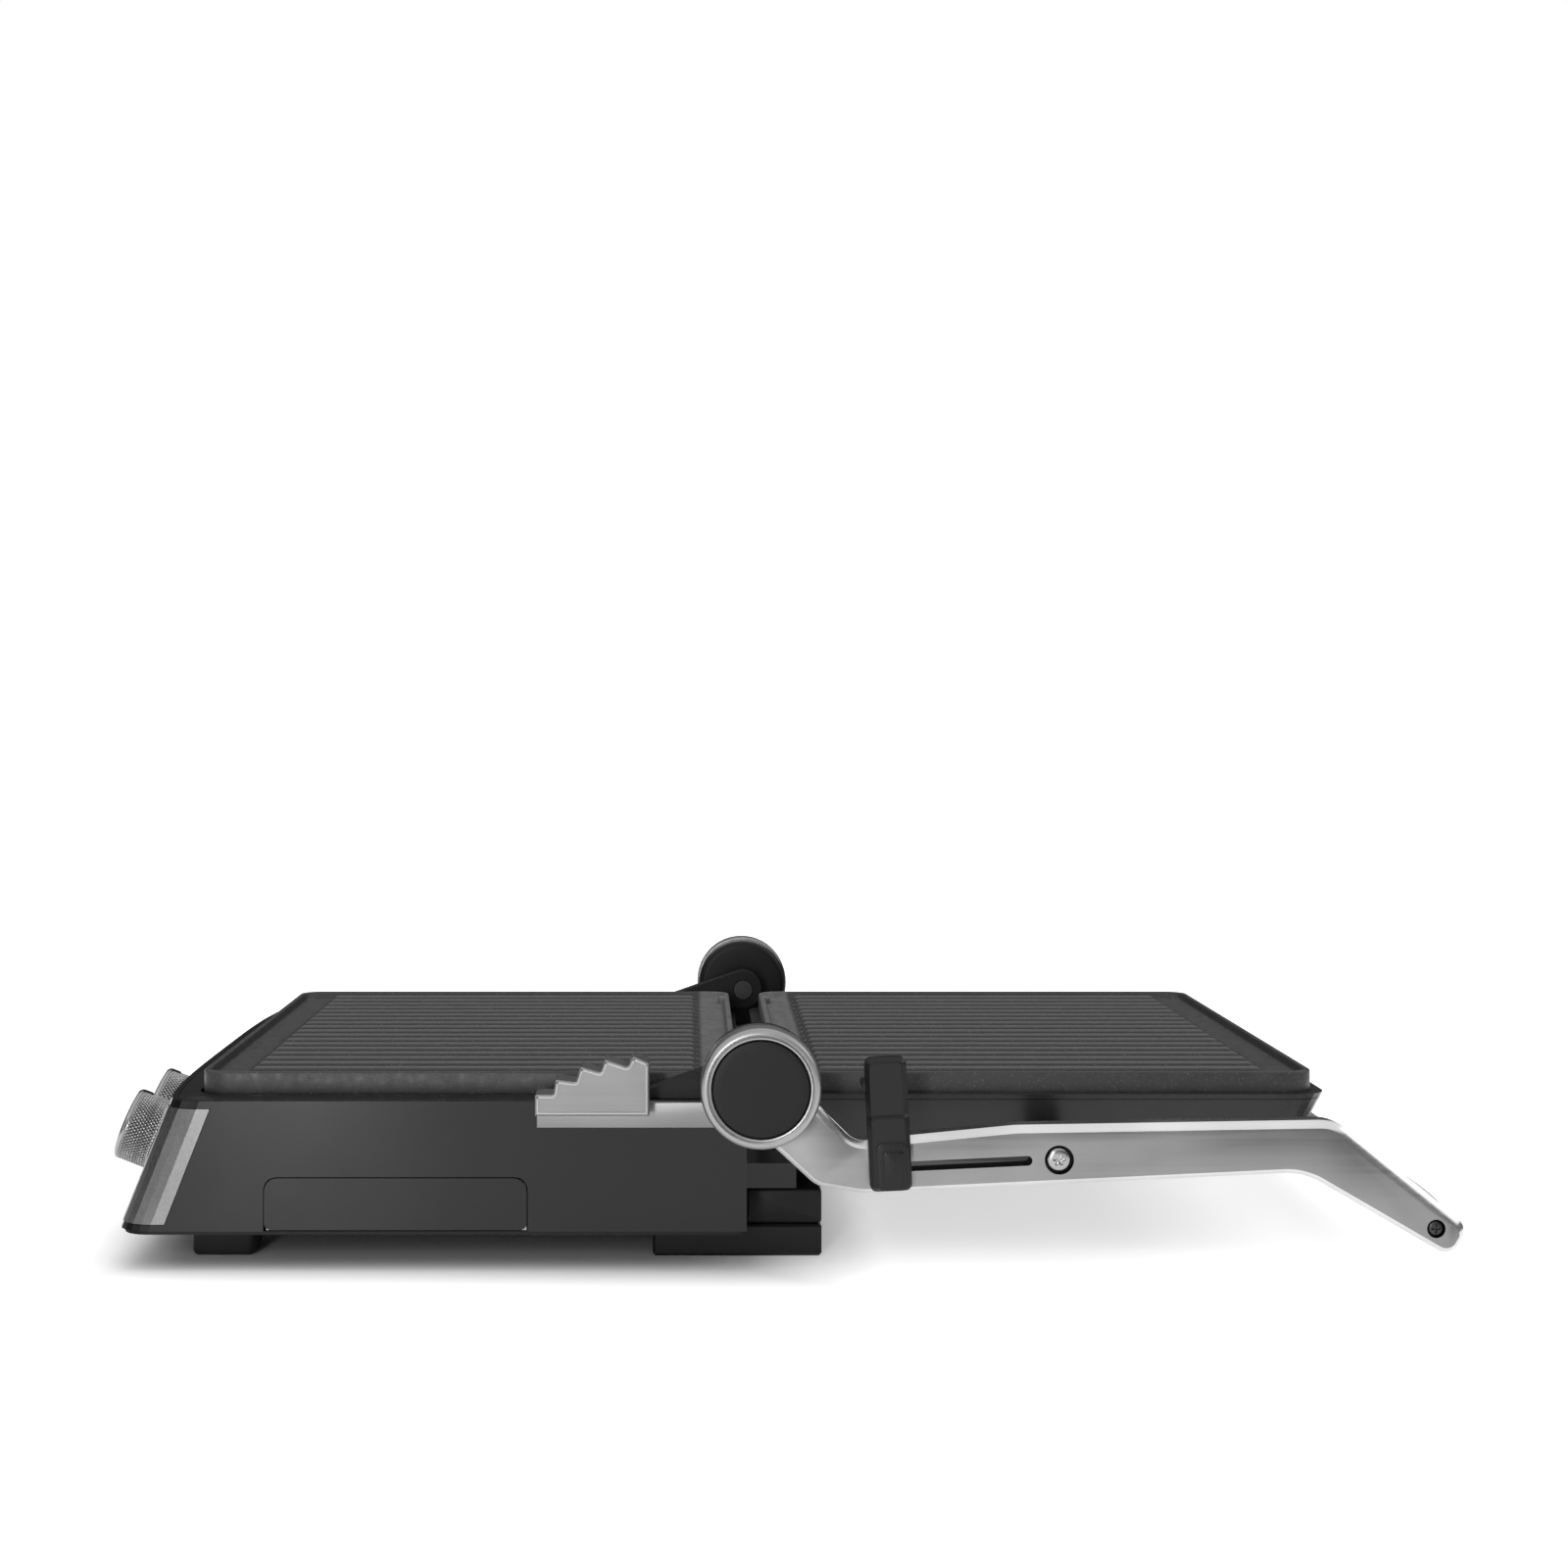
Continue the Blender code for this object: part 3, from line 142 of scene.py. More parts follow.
# ---- solids -----------------------------------------------------------------------
class Facing(Enum):
    """Which way an outline lies: its own two axes, then the way its height runs."""

    PLAN = ((1, 0, 0), (0, 1, 0), (0, 0, 1))
    RIGHT = ((0, 1, 0), (0, 0, 1), (1, 0, 0))
    LEFT = ((0, 1, 0), (0, 0, 1), (-1, 0, 0))


@dataclass(frozen=True)
class Place:
    """A frame: an origin and the three directions of an outline's own axes."""

    origin: tuple = (0.0, 0.0, 0.0)
    axes: tuple = Facing.PLAN.value

    @classmethod
    def facing(cls, facing: Facing, origin: tuple = (0.0, 0.0, 0.0)) -> "Place":
        """A frame that lies one of the named ways."""
        return cls(origin, facing.value)

    def world(self, local: Array) -> Array:
        """Local points in world coordinates: the origin plus each coordinate along its axis."""
        return np.asarray(self.origin, float) + local @ np.asarray(self.axes, float)

    def mirrored(self) -> bool:
        """Whether the frame is left-handed, so that faces have to be turned round."""
        return float(np.linalg.det(np.asarray(self.axes, float))) < 0.0


def wall_faces(rows: int, count: int, loop: bool = True) -> Array:
    """Quads between successive rows of equal length, the rows closed on themselves or open."""
    span = count if loop else count - 1
    i = np.arange(rows - 1)[:, None] * count
    j = np.arange(span)[None]
    k = (j + 1) % count
    return np.stack([i + j, i + k, i + k + count, i + j + count], -1).reshape(-1, 4)


def settle(points: Array, faces: list, place: Place) -> Solid:
    """A local solid in the world, with its faces turned round if its frame is mirrored."""
    if place.mirrored():
        faces = [list(face)[::-1] for face in faces]
    return place.world(points), faces


def stacked(loop: Array, levels: Sequence, place: Place, share: Array | float = 1.0) -> Solid:
    """An outline carried through levels and closed by a flat face at each end.

    At each level the outline is drawn in by the inset and raised to the height.

    Args:
        loop: the outline, counter-clockwise.
        levels: (inset, height) pairs, going up.
        place: the frame it stands in.
        share: how much of each inset is taken, for all points or for each.

    Returns:
        The solid.
    """
    rows = []
    for inset, height in levels:
        flat = drawn_in(loop, inset * share)
        rows.append(np.column_stack([flat, np.full(len(flat), height)]))
    count = len(loop)
    faces = wall_faces(len(rows), count).tolist()
    faces.append(list(range(count))[::-1])
    faces.append([(len(rows) - 1) * count + i for i in range(count)])
    return settle(np.concatenate(rows), faces, place)


def turned(profile: Sequence, count: int, place: Place, relief: Callable | None = None) -> Solid:
    """A (radius, height) profile turned about the frame's third axis.

    A point is radius * (cos, sin) of its angle, at its height. A profile that starts and ends on
    the axis gets one point at each pole; any other is taken as closed on itself.

    Args:
        profile: (radius, height) pairs, counter-clockwise with the radius to the right.
        count: segments round the axis.
        place: the frame it stands in.
        relief: gives what is added to the radius from the arrays of angle, radius and height.

    Returns:
        The solid.
    """
    line = np.asarray(profile, float)
    poled = line[0, 0] == 0.0 and line[-1, 0] == 0.0
    body = line[1:-1] if poled else np.concatenate([line, line[:1]])
    angle = np.linspace(0.0, math.tau, count, endpoint=False)[None]
    radius, height = body[:, :1], body[:, 1:]
    reach = radius + (relief(angle, radius, height) if relief else 0.0) + 0.0 * angle
    lift = height + 0.0 * angle
    points = np.stack([reach * np.cos(angle), reach * np.sin(angle), lift], -1).reshape(-1, 3)
    if not poled:
        points = points[:-count]
        faces = wall_faces(len(body), count) % len(points)
        return settle(points, faces.tolist(), place)
    faces = wall_faces(len(body), count).tolist()
    low, high = len(points), len(points) + 1
    points = np.concatenate([points, [(0, 0, line[0, 1]), (0, 0, line[-1, 1])]])
    top = (len(body) - 1) * count
    faces += [[low, (j + 1) % count, j] for j in range(count)]
    faces += [[high, top + j, top + (j + 1) % count] for j in range(count)]
    return settle(points, faces, place)


def merged(*solids: Solid) -> Solid:
    """Several solids as one set of points and faces."""
    points, faces, start = [], [], 0
    for verts, quads in solids:
        points.append(verts)
        faces += [[start + i for i in face] for face in quads]
        start += len(verts)
    return np.concatenate(points), faces


def object_from(name: str, solid: Solid, crease: float = 32.0) -> bpy.types.Object:
    """A mesh object, smooth but for edges sharper than the crease angle in degrees."""
    mesh = bpy.data.meshes.new(name)
    mesh.from_pydata(solid[0].tolist(), [], solid[1])
    mesh.validate()
    mesh.shade_smooth()
    mesh.set_sharp_from_angle(angle=math.radians(crease))
    obj = bpy.data.objects.new(name, mesh)
    bpy.context.scene.collection.objects.link(obj)
    return obj


def pierced(obj: bpy.types.Object, *cutters: Solid) -> bpy.types.Object:
    """Cuts solids out of an object and keeps the result as its mesh."""
    for solid in cutters:
        guide = object_from("cutter", solid)
        change = obj.modifiers.new("Cut", "BOOLEAN")
        change.operation = "DIFFERENCE"
        change.solver = "EXACT"
        change.object = guide
        bpy.context.view_layer.update()
        shape = obj.evaluated_get(bpy.context.evaluated_depsgraph_get())
        mesh = bpy.data.meshes.new_from_object(shape)
        obj.modifiers.clear()
        obj.data = mesh
        bpy.data.objects.remove(guide, do_unlink=True)
    obj.data.shade_smooth()
    obj.data.set_sharp_from_angle(angle=math.radians(32.0))
    return obj


# ---- finishes ---------------------------------------------------------------------
class Grain(Enum):
    """What a surface shows close up."""

    MOULDED = "moulded"
    BRUSHED_X = "brushed along X"
    BRUSHED_Y = "brushed along Y"
    BRUSHED_Z = "brushed along Z"
    TURNED = "turned about the hinge axis"
    BLASTED = "bead blasted"
    COATED = "granite coated"


BRUSH_SCALES = {
    Grain.BRUSHED_X: (9.0, 900.0, 900.0),
    Grain.BRUSHED_Y: (900.0, 9.0, 900.0),
    Grain.BRUSHED_Z: (900.0, 900.0, 9.0),
}


class Bench:
    """A material's node tree, with short ways to lay each kind of node."""

    def __init__(self, name: str) -> None:
        """Starts an empty material with a Principled shader and object coordinates."""
        self.material = bpy.data.materials.new(name)
        self.material.use_nodes = True
        self.tree = self.material.node_tree
        self.shader = self.tree.nodes["Principled BSDF"]
        self.coords = self.tree.nodes.new("ShaderNodeTexCoord").outputs["Object"]

    def node(self, kind: str, settings: dict | None = None, **inputs: object) -> bpy.types.Node:
        """Adds a node.

        Args:
            kind: the node's type.
            settings: its own properties.
            inputs: its sockets by name with _ for a space, each a value or a socket to link.

        Returns:
            The node.
        """
        node = self.tree.nodes.new(kind)
        for key, value in (settings or {}).items():
            setattr(node, key, value)
        for key, value in inputs.items():
            self.feed(node.inputs[key.replace("_", " ")], value)
        return node

    def feed(self, socket: bpy.types.NodeSocket, value: object) -> None:
        """Links a socket to another, or sets its value."""
        if isinstance(value, bpy.types.NodeSocket):
            self.tree.links.new(value, socket)
        else:
            socket.default_value = value

    def mapped(self, scale: tuple, shift: tuple = (0.0, 0.0, 0.0)) -> bpy.types.NodeSocket:
        """Object coordinates, scaled and shifted."""
        return self.node("ShaderNodeMapping", Vector=self.coords, Scale=scale, Location=shift).outputs[0]

    def noise(self, vector: bpy.types.NodeSocket, scale: float, detail: float = 3.0) -> bpy.types.NodeSocket:
        """Noise between 0 and 1 over a vector."""
        return self.node("ShaderNodeTexNoise", Vector=vector, Scale=scale, Detail=detail).outputs[0]

    def ranged(self, value: bpy.types.NodeSocket, source: tuple, target: tuple) -> bpy.types.NodeSocket:
        """A value carried from one range to another, held at the ends."""
        node = self.node("ShaderNodeMapRange", Value=value)
        for key, number in zip(("From Min", "From Max", "To Min", "To Max"), source + target):
            node.inputs[key].default_value = number
        return node.outputs[0]

    def blended(self, share: bpy.types.NodeSocket, first: object, second: object) -> bpy.types.NodeSocket:
        """One colour fading into another with the share."""
        node = self.node("ShaderNodeMix", {"data_type": "RGBA"})
        self.feed(node.inputs["Factor"], share)
        self.feed(node.inputs[6], first)
        self.feed(node.inputs[7], second)
        return node.outputs[2]

    def math(self, operation: str, first: object, second: object = 0.0) -> bpy.types.NodeSocket:
        """One arithmetic step."""
        node = self.node("ShaderNodeMath", {"operation": operation})
        self.feed(node.inputs[0], first)
        self.feed(node.inputs[1], second)
        return node.outputs[0]

    def bump(self, height: bpy.types.NodeSocket, depth: float, strength: float = 1.0) -> None:
        """Sends a height to the shader as bumps of a real depth in metres."""
        node = self.node("ShaderNodeBump", Height=height, Distance=depth, Strength=strength)
        self.feed(self.shader.inputs["Normal"], node.outputs[0])


MADE: dict[str, bpy.types.Material] = {}


def tinted(colour: tuple, factor: float) -> tuple:
    """A colour made lighter or darker, with full opacity."""
    return (*(min(part * factor, 1.0) for part in colour), 1.0)


@dataclass(frozen=True)
class Finish:
    """A surface finish.

    Attributes:
        name: what the finish is called.
        colour: its mean colour, linear.
        roughness: mean roughness.
        metallic: 1 for bare metal.
        grain: what it shows close up.
        drift: how far the colour drifts over the piece, as a share.
        streak: how far the grain changes the colour, as a share.
        uneven: how far the grain changes the roughness.
        depth: depth of the grain's relief, metres.
        sheen: how strongly it reflects for a material that isn't metal, 0.5 being usual.
        stretch: how far brushing draws out its highlights.
    """

    name: str
    colour: tuple[float, float, float]
    roughness: float
    metallic: float = 0.0
    grain: Grain = Grain.MOULDED
    drift: float = 0.10
    streak: float = 0.06
    uneven: float = 0.05
    depth: float = 0.00001
    sheen: float = 0.5
    stretch: float = 0.0

    def material(self) -> bpy.types.Material:
        """The finish as a material, made once and shared."""
        if self.name in MADE:
            return MADE[self.name]
        bench = Bench(self.name)
        MADE[self.name] = bench.material
        shader = bench.shader.inputs
        shader["Metallic"].default_value = self.metallic
        shader["Specular IOR Level"].default_value = self.sheen
        shader["Anisotropic"].default_value = self.stretch
        if self.stretch:
            upright = bench.node("ShaderNodeTangent", {"direction_type": "RADIAL", "axis": "Y"})
            bench.feed(shader["Tangent"], upright.outputs[0])
        if self.grain is Grain.COATED:
            self.lay_coating(bench)
        else:
            self.lay_grain(bench)
        return bench.material

    def lay_grain(self, bench: Bench) -> None:
        """Colour, roughness and relief from a broad drift and the close grain."""
        drift = bench.noise(bench.mapped((1.0, 1.0, 1.0)), 22.0, 2.0)
        grain = self.close_grain(bench)
        low = tinted(self.colour, 1.0 - self.drift)
        high = tinted(self.colour, 1.0 + self.drift)
        broad = bench.blended(bench.ranged(drift, (0.3, 0.7), (0.0, 1.0)), low, high)
        dark = bench.node("ShaderNodeHueSaturation", Color=broad, Value=1.0 - self.streak).outputs[0]
        light = bench.node("ShaderNodeHueSaturation", Color=broad, Value=1.0 + self.streak).outputs[0]
        share = bench.ranged(grain, (0.3, 0.7), (0.0, 1.0))
        bench.feed(bench.shader.inputs["Base Color"], bench.blended(share, dark, light))
        span = (max(self.roughness - self.uneven, 0.02), self.roughness + self.uneven)
        mixed = bench.math("ADD", bench.math("MULTIPLY", grain, 0.6), bench.math("MULTIPLY", drift, 0.4))
        bench.feed(bench.shader.inputs["Roughness"], bench.ranged(mixed, (0.3, 0.7), span))
        bench.bump(grain, self.depth)

    def close_grain(self, bench: Bench) -> bpy.types.NodeSocket:
        """The fine pattern: drawn-out noise, noise on the radius, or even noise."""
        if self.grain in BRUSH_SCALES:
            return bench.noise(bench.mapped(BRUSH_SCALES[self.grain]), 1.0, 4.0)
        if self.grain is Grain.TURNED:
            centred = bench.mapped((0.0, 1.0, 1.0), (0.0, -HINGE_Y, -HINGE_Z))
            radius = bench.node("ShaderNodeVectorMath", {"operation": "LENGTH"})
            bench.feed(radius.inputs[0], centred)
            rings = bench.node("ShaderNodeTexNoise", {"noise_dimensions": "1D"}, Scale=1400.0, Detail=3.0)
            bench.feed(rings.inputs["W"], radius.outputs["Value"])
            return rings.outputs[0]
        scale = 2600.0 if self.grain is Grain.BLASTED else 1500.0
        return bench.noise(bench.mapped((1.0, 1.0, 1.0)), scale, 3.0)

    def lay_coating(self, bench: Bench) -> None:
        """Granite coating: pale flecks in a dark ground. In the ridge field the colour carries painted light and
        shade, pale on the ridge crests and near-black in the grooves; the flat margin by the hinge is painted much
        paler as a painted sheen.
        """
        plain = bench.mapped((1.0, 1.0, 1.0))
        height = bench.node("ShaderNodeSeparateXYZ", Vector=plain).outputs[2]
        # painted light and shade: the ridge crests are painted pale and the grooves near-black, by height
        crest = bench.ranged(height, (0.0797, 0.0810), (0.0, 1.0))
        ribbed = bench.blended(crest, tinted(self.colour, 0.06), tinted(self.colour, 3.4))
        apart = bench.node("ShaderNodeSeparateXYZ", Vector=plain)
        across = bench.math("ABSOLUTE", apart.outputs[0])
        by_hinge = bench.math("ABSOLUTE", bench.math("SUBTRACT", apart.outputs[1], HINGE_Y))
        beyond = bench.math("SUBTRACT", bench.math("ABSOLUTE", bench.math("SUBTRACT", by_hinge, PLATE_MID)), 0.0985)
        outside = bench.math("MAXIMUM", beyond, bench.math("SUBTRACT", across, 0.1455))
        groove_shade_field = bench.ranged(outside, (-0.001, 0.001), (1.0, 0.0))
        # painted sheen: the flat margin by the hinge is painted much paler
        hinge_sheen_share = bench.ranged(by_hinge, (0.0225, 0.0245), (1.0, 0.0))
        flat = bench.blended(hinge_sheen_share, tinted(self.colour, 1.2), tinted(self.colour, 5.0))
        ground = bench.blended(groove_shade_field, flat, ribbed)
        cells = bench.node("ShaderNodeTexVoronoi", Vector=plain, Scale=1150.0).outputs["Distance"]
        patch = bench.noise(plain, 620.0, 2.0)
        fleck = bench.math("MULTIPLY", bench.ranged(cells, (0.16, 0.30), (1.0, 0.0)),
                           bench.ranged(patch, (0.46, 0.62), (0.0, 1.0)))
        speckled = bench.blended(fleck, ground, tinted(self.colour, 5.5))
        mottle = bench.noise(plain, 240.0, 4.0)
        dull = bench.node("ShaderNodeHueSaturation", Color=speckled, Value=0.8).outputs[0]
        share = bench.ranged(mottle, (0.35, 0.65), (0.0, 1.0))
        bench.feed(bench.shader.inputs["Base Color"], bench.blended(share, dull, speckled))
        bench.feed(bench.shader.inputs["Roughness"], bench.ranged(mottle, (0.3, 0.7),
                   (self.roughness - self.uneven, self.roughness + self.uneven)))
        bench.bump(bench.math("ADD", mottle, bench.noise(plain, 1800.0, 2.0)), self.depth)


GLOSS_BLACK = Finish("black_lacquer", (0.0022, 0.0022, 0.0023), 0.15, depth=0.000001, uneven=0.02, sheen=0.30,
                     stretch=0.85)
SATIN_BLACK = Finish("black_moulding", (0.0045, 0.0045, 0.0047), 0.38, sheen=0.18, depth=0.000006)
DARK_GREY = Finish("latch_moulding", (0.0040, 0.0040, 0.0042), 0.30, sheen=0.24, depth=0.000004)
GRAPHITE = Finish("graphite_enamel", (0.018, 0.018, 0.0184), 0.30, sheen=0.3, depth=0.000003)
NON_STICK = Finish("granite_coating", (0.020, 0.020, 0.0205), 0.45, grain=Grain.COATED, uneven=0.08, depth=0.00003,
                   sheen=0.4)
STAINLESS = Finish("brushed_stainless", (0.15, 0.15, 0.152), 0.32, 1.0, Grain.BRUSHED_X, streak=0.10, stretch=0.5)
BRUSHED = Finish("brushed_aluminium", (0.22, 0.22, 0.222), 0.36, 1.0, Grain.BRUSHED_Y, streak=0.03)
POLISHED = Finish("polished_edge", (0.56, 0.56, 0.565), 0.22, 1.0, Grain.BRUSHED_Y, streak=0.03, depth=0.000002)
SPUN = Finish("spun_aluminium", (0.27, 0.27, 0.273), 0.36, 1.0, Grain.TURNED, streak=0.06, depth=0.000003)
BLASTED = Finish("blasted_aluminium", (0.40, 0.40, 0.405), 0.40, 1.0, Grain.BLASTED, depth=0.000006)
PALE_METAL = Finish("pale_metal", (0.17, 0.17, 0.172), 0.36, 0.95, Grain.BRUSHED_Y, streak=0.04)
BRIGHT_STEEL = Finish("turned_steel", (0.30, 0.30, 0.303), 0.24, 1.0, Grain.BLASTED, depth=0.000003)
DARK_STEEL = Finish("blackened_steel", (0.045, 0.045, 0.046), 0.34, 0.9, Grain.BLASTED, depth=0.000003)
ZINC = Finish("zinc_plate", (0.30, 0.31, 0.32), 0.38, 0.95, Grain.BLASTED, drift=0.16)
BRASS = Finish("brass_shaft", (0.55, 0.42, 0.20), 0.34, 1.0, Grain.BRUSHED_Y)
RUBBER = Finish("soft_rubber", (0.010, 0.010, 0.0105), 0.55, sheen=0.3, depth=0.00001)
ELEMENT = Finish("element_sheath", (0.09, 0.085, 0.08), 0.55, 0.8, Grain.BLASTED, drift=0.2, depth=0.00002)
MARK_BLACK = Finish("mark_black", (0.008, 0.008, 0.008), 0.5, sheen=0.2)

SLOT_FINISHES = {
    "gloss_black": GLOSS_BLACK, "satin_black": SATIN_BLACK, "dark_grey": DARK_GREY, "graphite": GRAPHITE,
    "non_stick": NON_STICK, "stainless": STAINLESS, "aluminium": BRUSHED, "light_metal": PALE_METAL,
    "bright_steel": BRIGHT_STEEL, "zinc": ZINC, "brass": BRASS, "rubber": RUBBER, "element": ELEMENT,
}


def fitted(obj: bpy.types.Object, body: str, slot: str, *finishes: Finish,
           stands_for: Sequence[str] = ()) -> bpy.types.Object:
    """Dresses a piece, sets what it moves with and what it stands for.

    Args:
        obj: the piece.
        body: the body it rides on.
        slot: the record's material slot; not used.
        finishes: one finish for each material slot of its mesh.
        stands_for: CAD nodes that it replaces.

    Returns:
        The piece.
    """
    obj.data.materials.clear()
    for finish in finishes:
        obj.data.materials.append(finish.material())
    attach(obj, body)
    if stands_for:
        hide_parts(*stands_for)
    LOG.info("%s on %s, %d faces", obj.name, body, len(obj.data.polygons))
    return obj


# ---- sub-assemblies ---------------------------------------------------------------
@dataclass
class GrillPlate:
    """A ribbed cooking plate: one surface over a grid, with its wall and underside.

    The grid's columns run across the plate and its rows along the ridges. A row's half-width is
    the outline's at that row, so that the corners are round, and the height at each point is the
    rim's profile over the distance to the outline plus the nearest ridge's profile.
    """

    name: str
    body: str
    node: str
    middle_y: float
    front_way: float        # -1 when the front edge is toward -Y
    half_width: float = 0.153
    half_depth: float = 0.115
    corner: float = 0.011
    top: float = 0.0815
    tall: float = 0.0125
    floor_drop: float = 0.0032
    rim: float = 0.0024
    rim_slope: float = 0.0018
    edge_round: float = 0.0009
    ridge_pitch: float = 0.0158
    ridge_count: int = 18
    ridge_tall: float = 0.0028
    ridge_base: float = 0.0041
    ridge_crest: float = 0.0014
    ridge_front: float = 0.017
    ridge_rear: float = 0.016
    ridge_end: float = 0.0045

    def stations(self) -> tuple[Array, Array]:
        """Grid positions as shares of the half-width and as distances along the depth: fine
        over the rims and ridge flanks, coarse between."""
        rim = np.array([0.0, 0.0003, 0.0006, 0.0010, 0.0020, 0.0026, 0.0030, 0.0034, 0.0038, 0.0043, 0.006])
        first = -self.ridge_pitch * (self.ridge_count - 1) / 2
        flank = np.array([-4.4, -4.0, -3.4, -2.8, -2.2, -1.6, -0.9, 0.0, 0.9, 1.6, 2.2, 2.8, 3.4, 4.0, 4.4]) / 1000
        middle = (first + self.ridge_pitch * np.arange(self.ridge_count))[:, None] + flank[None]
        edge = self.half_width - rim
        across = np.unique(np.round(np.concatenate([-edge, middle.ravel(), edge]), 6)) / self.half_width
        end = self.half_depth - rim
        arc = self.half_depth - self.corner * (1 - np.cos(np.linspace(0.15, 1.0, 12) * math.pi / 2))
        low = -self.half_depth + self.ridge_front + np.linspace(-0.0005, self.ridge_end + 0.0005, 9)
        high = self.half_depth - self.ridge_rear - np.linspace(-0.0005, self.ridge_end + 0.0005, 9)
        body = np.linspace(-0.09, 0.09, 13)
        along = np.unique(np.round(np.concatenate([-end, -arc, low, body, high, arc, end]), 6))
        return across, along

    def height(self, x: Array, y: Array) -> Array:
        """Height at each point: the rim falls to the floor over the inner slope, and ridges rise
        by a smooth step from base to crest, fading out at their two ends."""
        inner = np.stack([np.abs(x) - self.half_width + self.corner,
                          np.abs(y) - self.half_depth + self.corner])
        outside = np.hypot(*np.maximum(inner, 0.0))
        depth = self.corner - outside - np.minimum(inner.max(0), 0.0)
        fall = smooth((depth - self.rim) / self.rim_slope)
        turn = np.clip(1.0 - depth / self.edge_round, 0.0, 1.0)
        surface = self.top - self.floor_drop * fall
        surface -= self.edge_round * (1.0 - np.sqrt(np.maximum(1.0 - turn ** 2, 0.0)))
        first = -self.ridge_pitch * (self.ridge_count - 1) / 2
        index = np.clip(np.round((x - first) / self.ridge_pitch), 0, self.ridge_count - 1)
        away = np.abs(x - first - index * self.ridge_pitch)
        rise = smooth((self.ridge_base - away) / (self.ridge_base - self.ridge_crest))
        start = smooth((y + self.half_depth - self.ridge_front) / self.ridge_end)
        stop = smooth((self.half_depth - self.ridge_rear - y) / self.ridge_end)
        return surface + self.ridge_tall * rise * start * stop

    def build(self) -> None:
        """Lays the grid, hangs the wall from its border and closes the underside."""
        across, along = self.stations()
        short = np.maximum(np.abs(along) - self.half_depth + self.corner, 0.0)
        reach = self.half_width - self.corner + np.sqrt(np.maximum(self.corner ** 2 - short ** 2, 0.0))
        x = across[None] * reach[:, None]
        y = np.repeat(along[:, None], len(across), 1)
        grid = np.stack([x, y, self.height(x, y)], -1)
        rows, cols = x.shape
        index = np.arange(rows * cols).reshape(rows, cols)
        border = np.concatenate([index[0, :-1], index[:-1, -1], index[-1, :0:-1], index[:0:-1, 0]])
        faces = np.stack([index[:-1, :-1], index[:-1, 1:], index[1:, 1:], index[1:, :-1]], -1).reshape(-1, 4)
        ring = grid.reshape(-1, 3)[border]
        count = len(border)
        low = self.top - self.tall
        outline = ring[:, :2]
        levels = [(0.0, low + 0.0012), (0.0004, low + 0.0004), (0.0012, low)]
        wall = [np.column_stack([drawn_in(outline, inset), np.full(count, z)]) for inset, z in levels]
        under = rows * cols + np.arange(len(levels) * count).reshape(len(levels), count)
        chain = np.concatenate([border[None], under])
        ahead = np.roll(chain, -1, 1)
        sides = np.stack([chain[:-1], chain[1:], ahead[1:], ahead[:-1]], -1).reshape(-1, 4)
        points = np.concatenate([grid.reshape(-1, 3)] + wall)
        points[:, 1] *= -self.front_way
        points[:, 1] += self.middle_y
        quads = faces.tolist() + sides.tolist() + [under[-1][::-1].tolist()]
        if self.front_way > 0:
            quads = [face[::-1] for face in quads]
        plate = object_from(self.name, (points, quads), 40.0)
        fitted(plate, self.body, "non_stick", NON_STICK, stands_for=[self.node])
        self.build_hooks()

    def build_hooks(self) -> None:
        """Two square bosses on the edge by the hinge."""
        rear = self.middle_y - self.front_way * (self.half_depth - 0.0005)
        ahead = rear + self.front_way * 0.0052
        blocks = []
        for side in (-1, 1):
            x = (side * 0.128 - 0.006, side * 0.128 + 0.006)
            loop = rectangle(x, (min(rear, ahead), max(rear, ahead)), 0.0012, 4)
            blocks.append(stacked(loop, fillet(self.top - 0.006, self.top + 0.0002, 0.0008, 3), Place()))
        hooks = object_from(self.name + "_bosses", merged(*blocks))
        fitted(hooks, self.body, "non_stick", NON_STICK)


def smooth(value: Array) -> Array:
    """Smooth step: 0 below 0, 1 above 1, and 3v squared less 2v cubed between."""
    held = np.clip(value, 0.0, 1.0)
    return held * held * (3.0 - 2.0 * held)


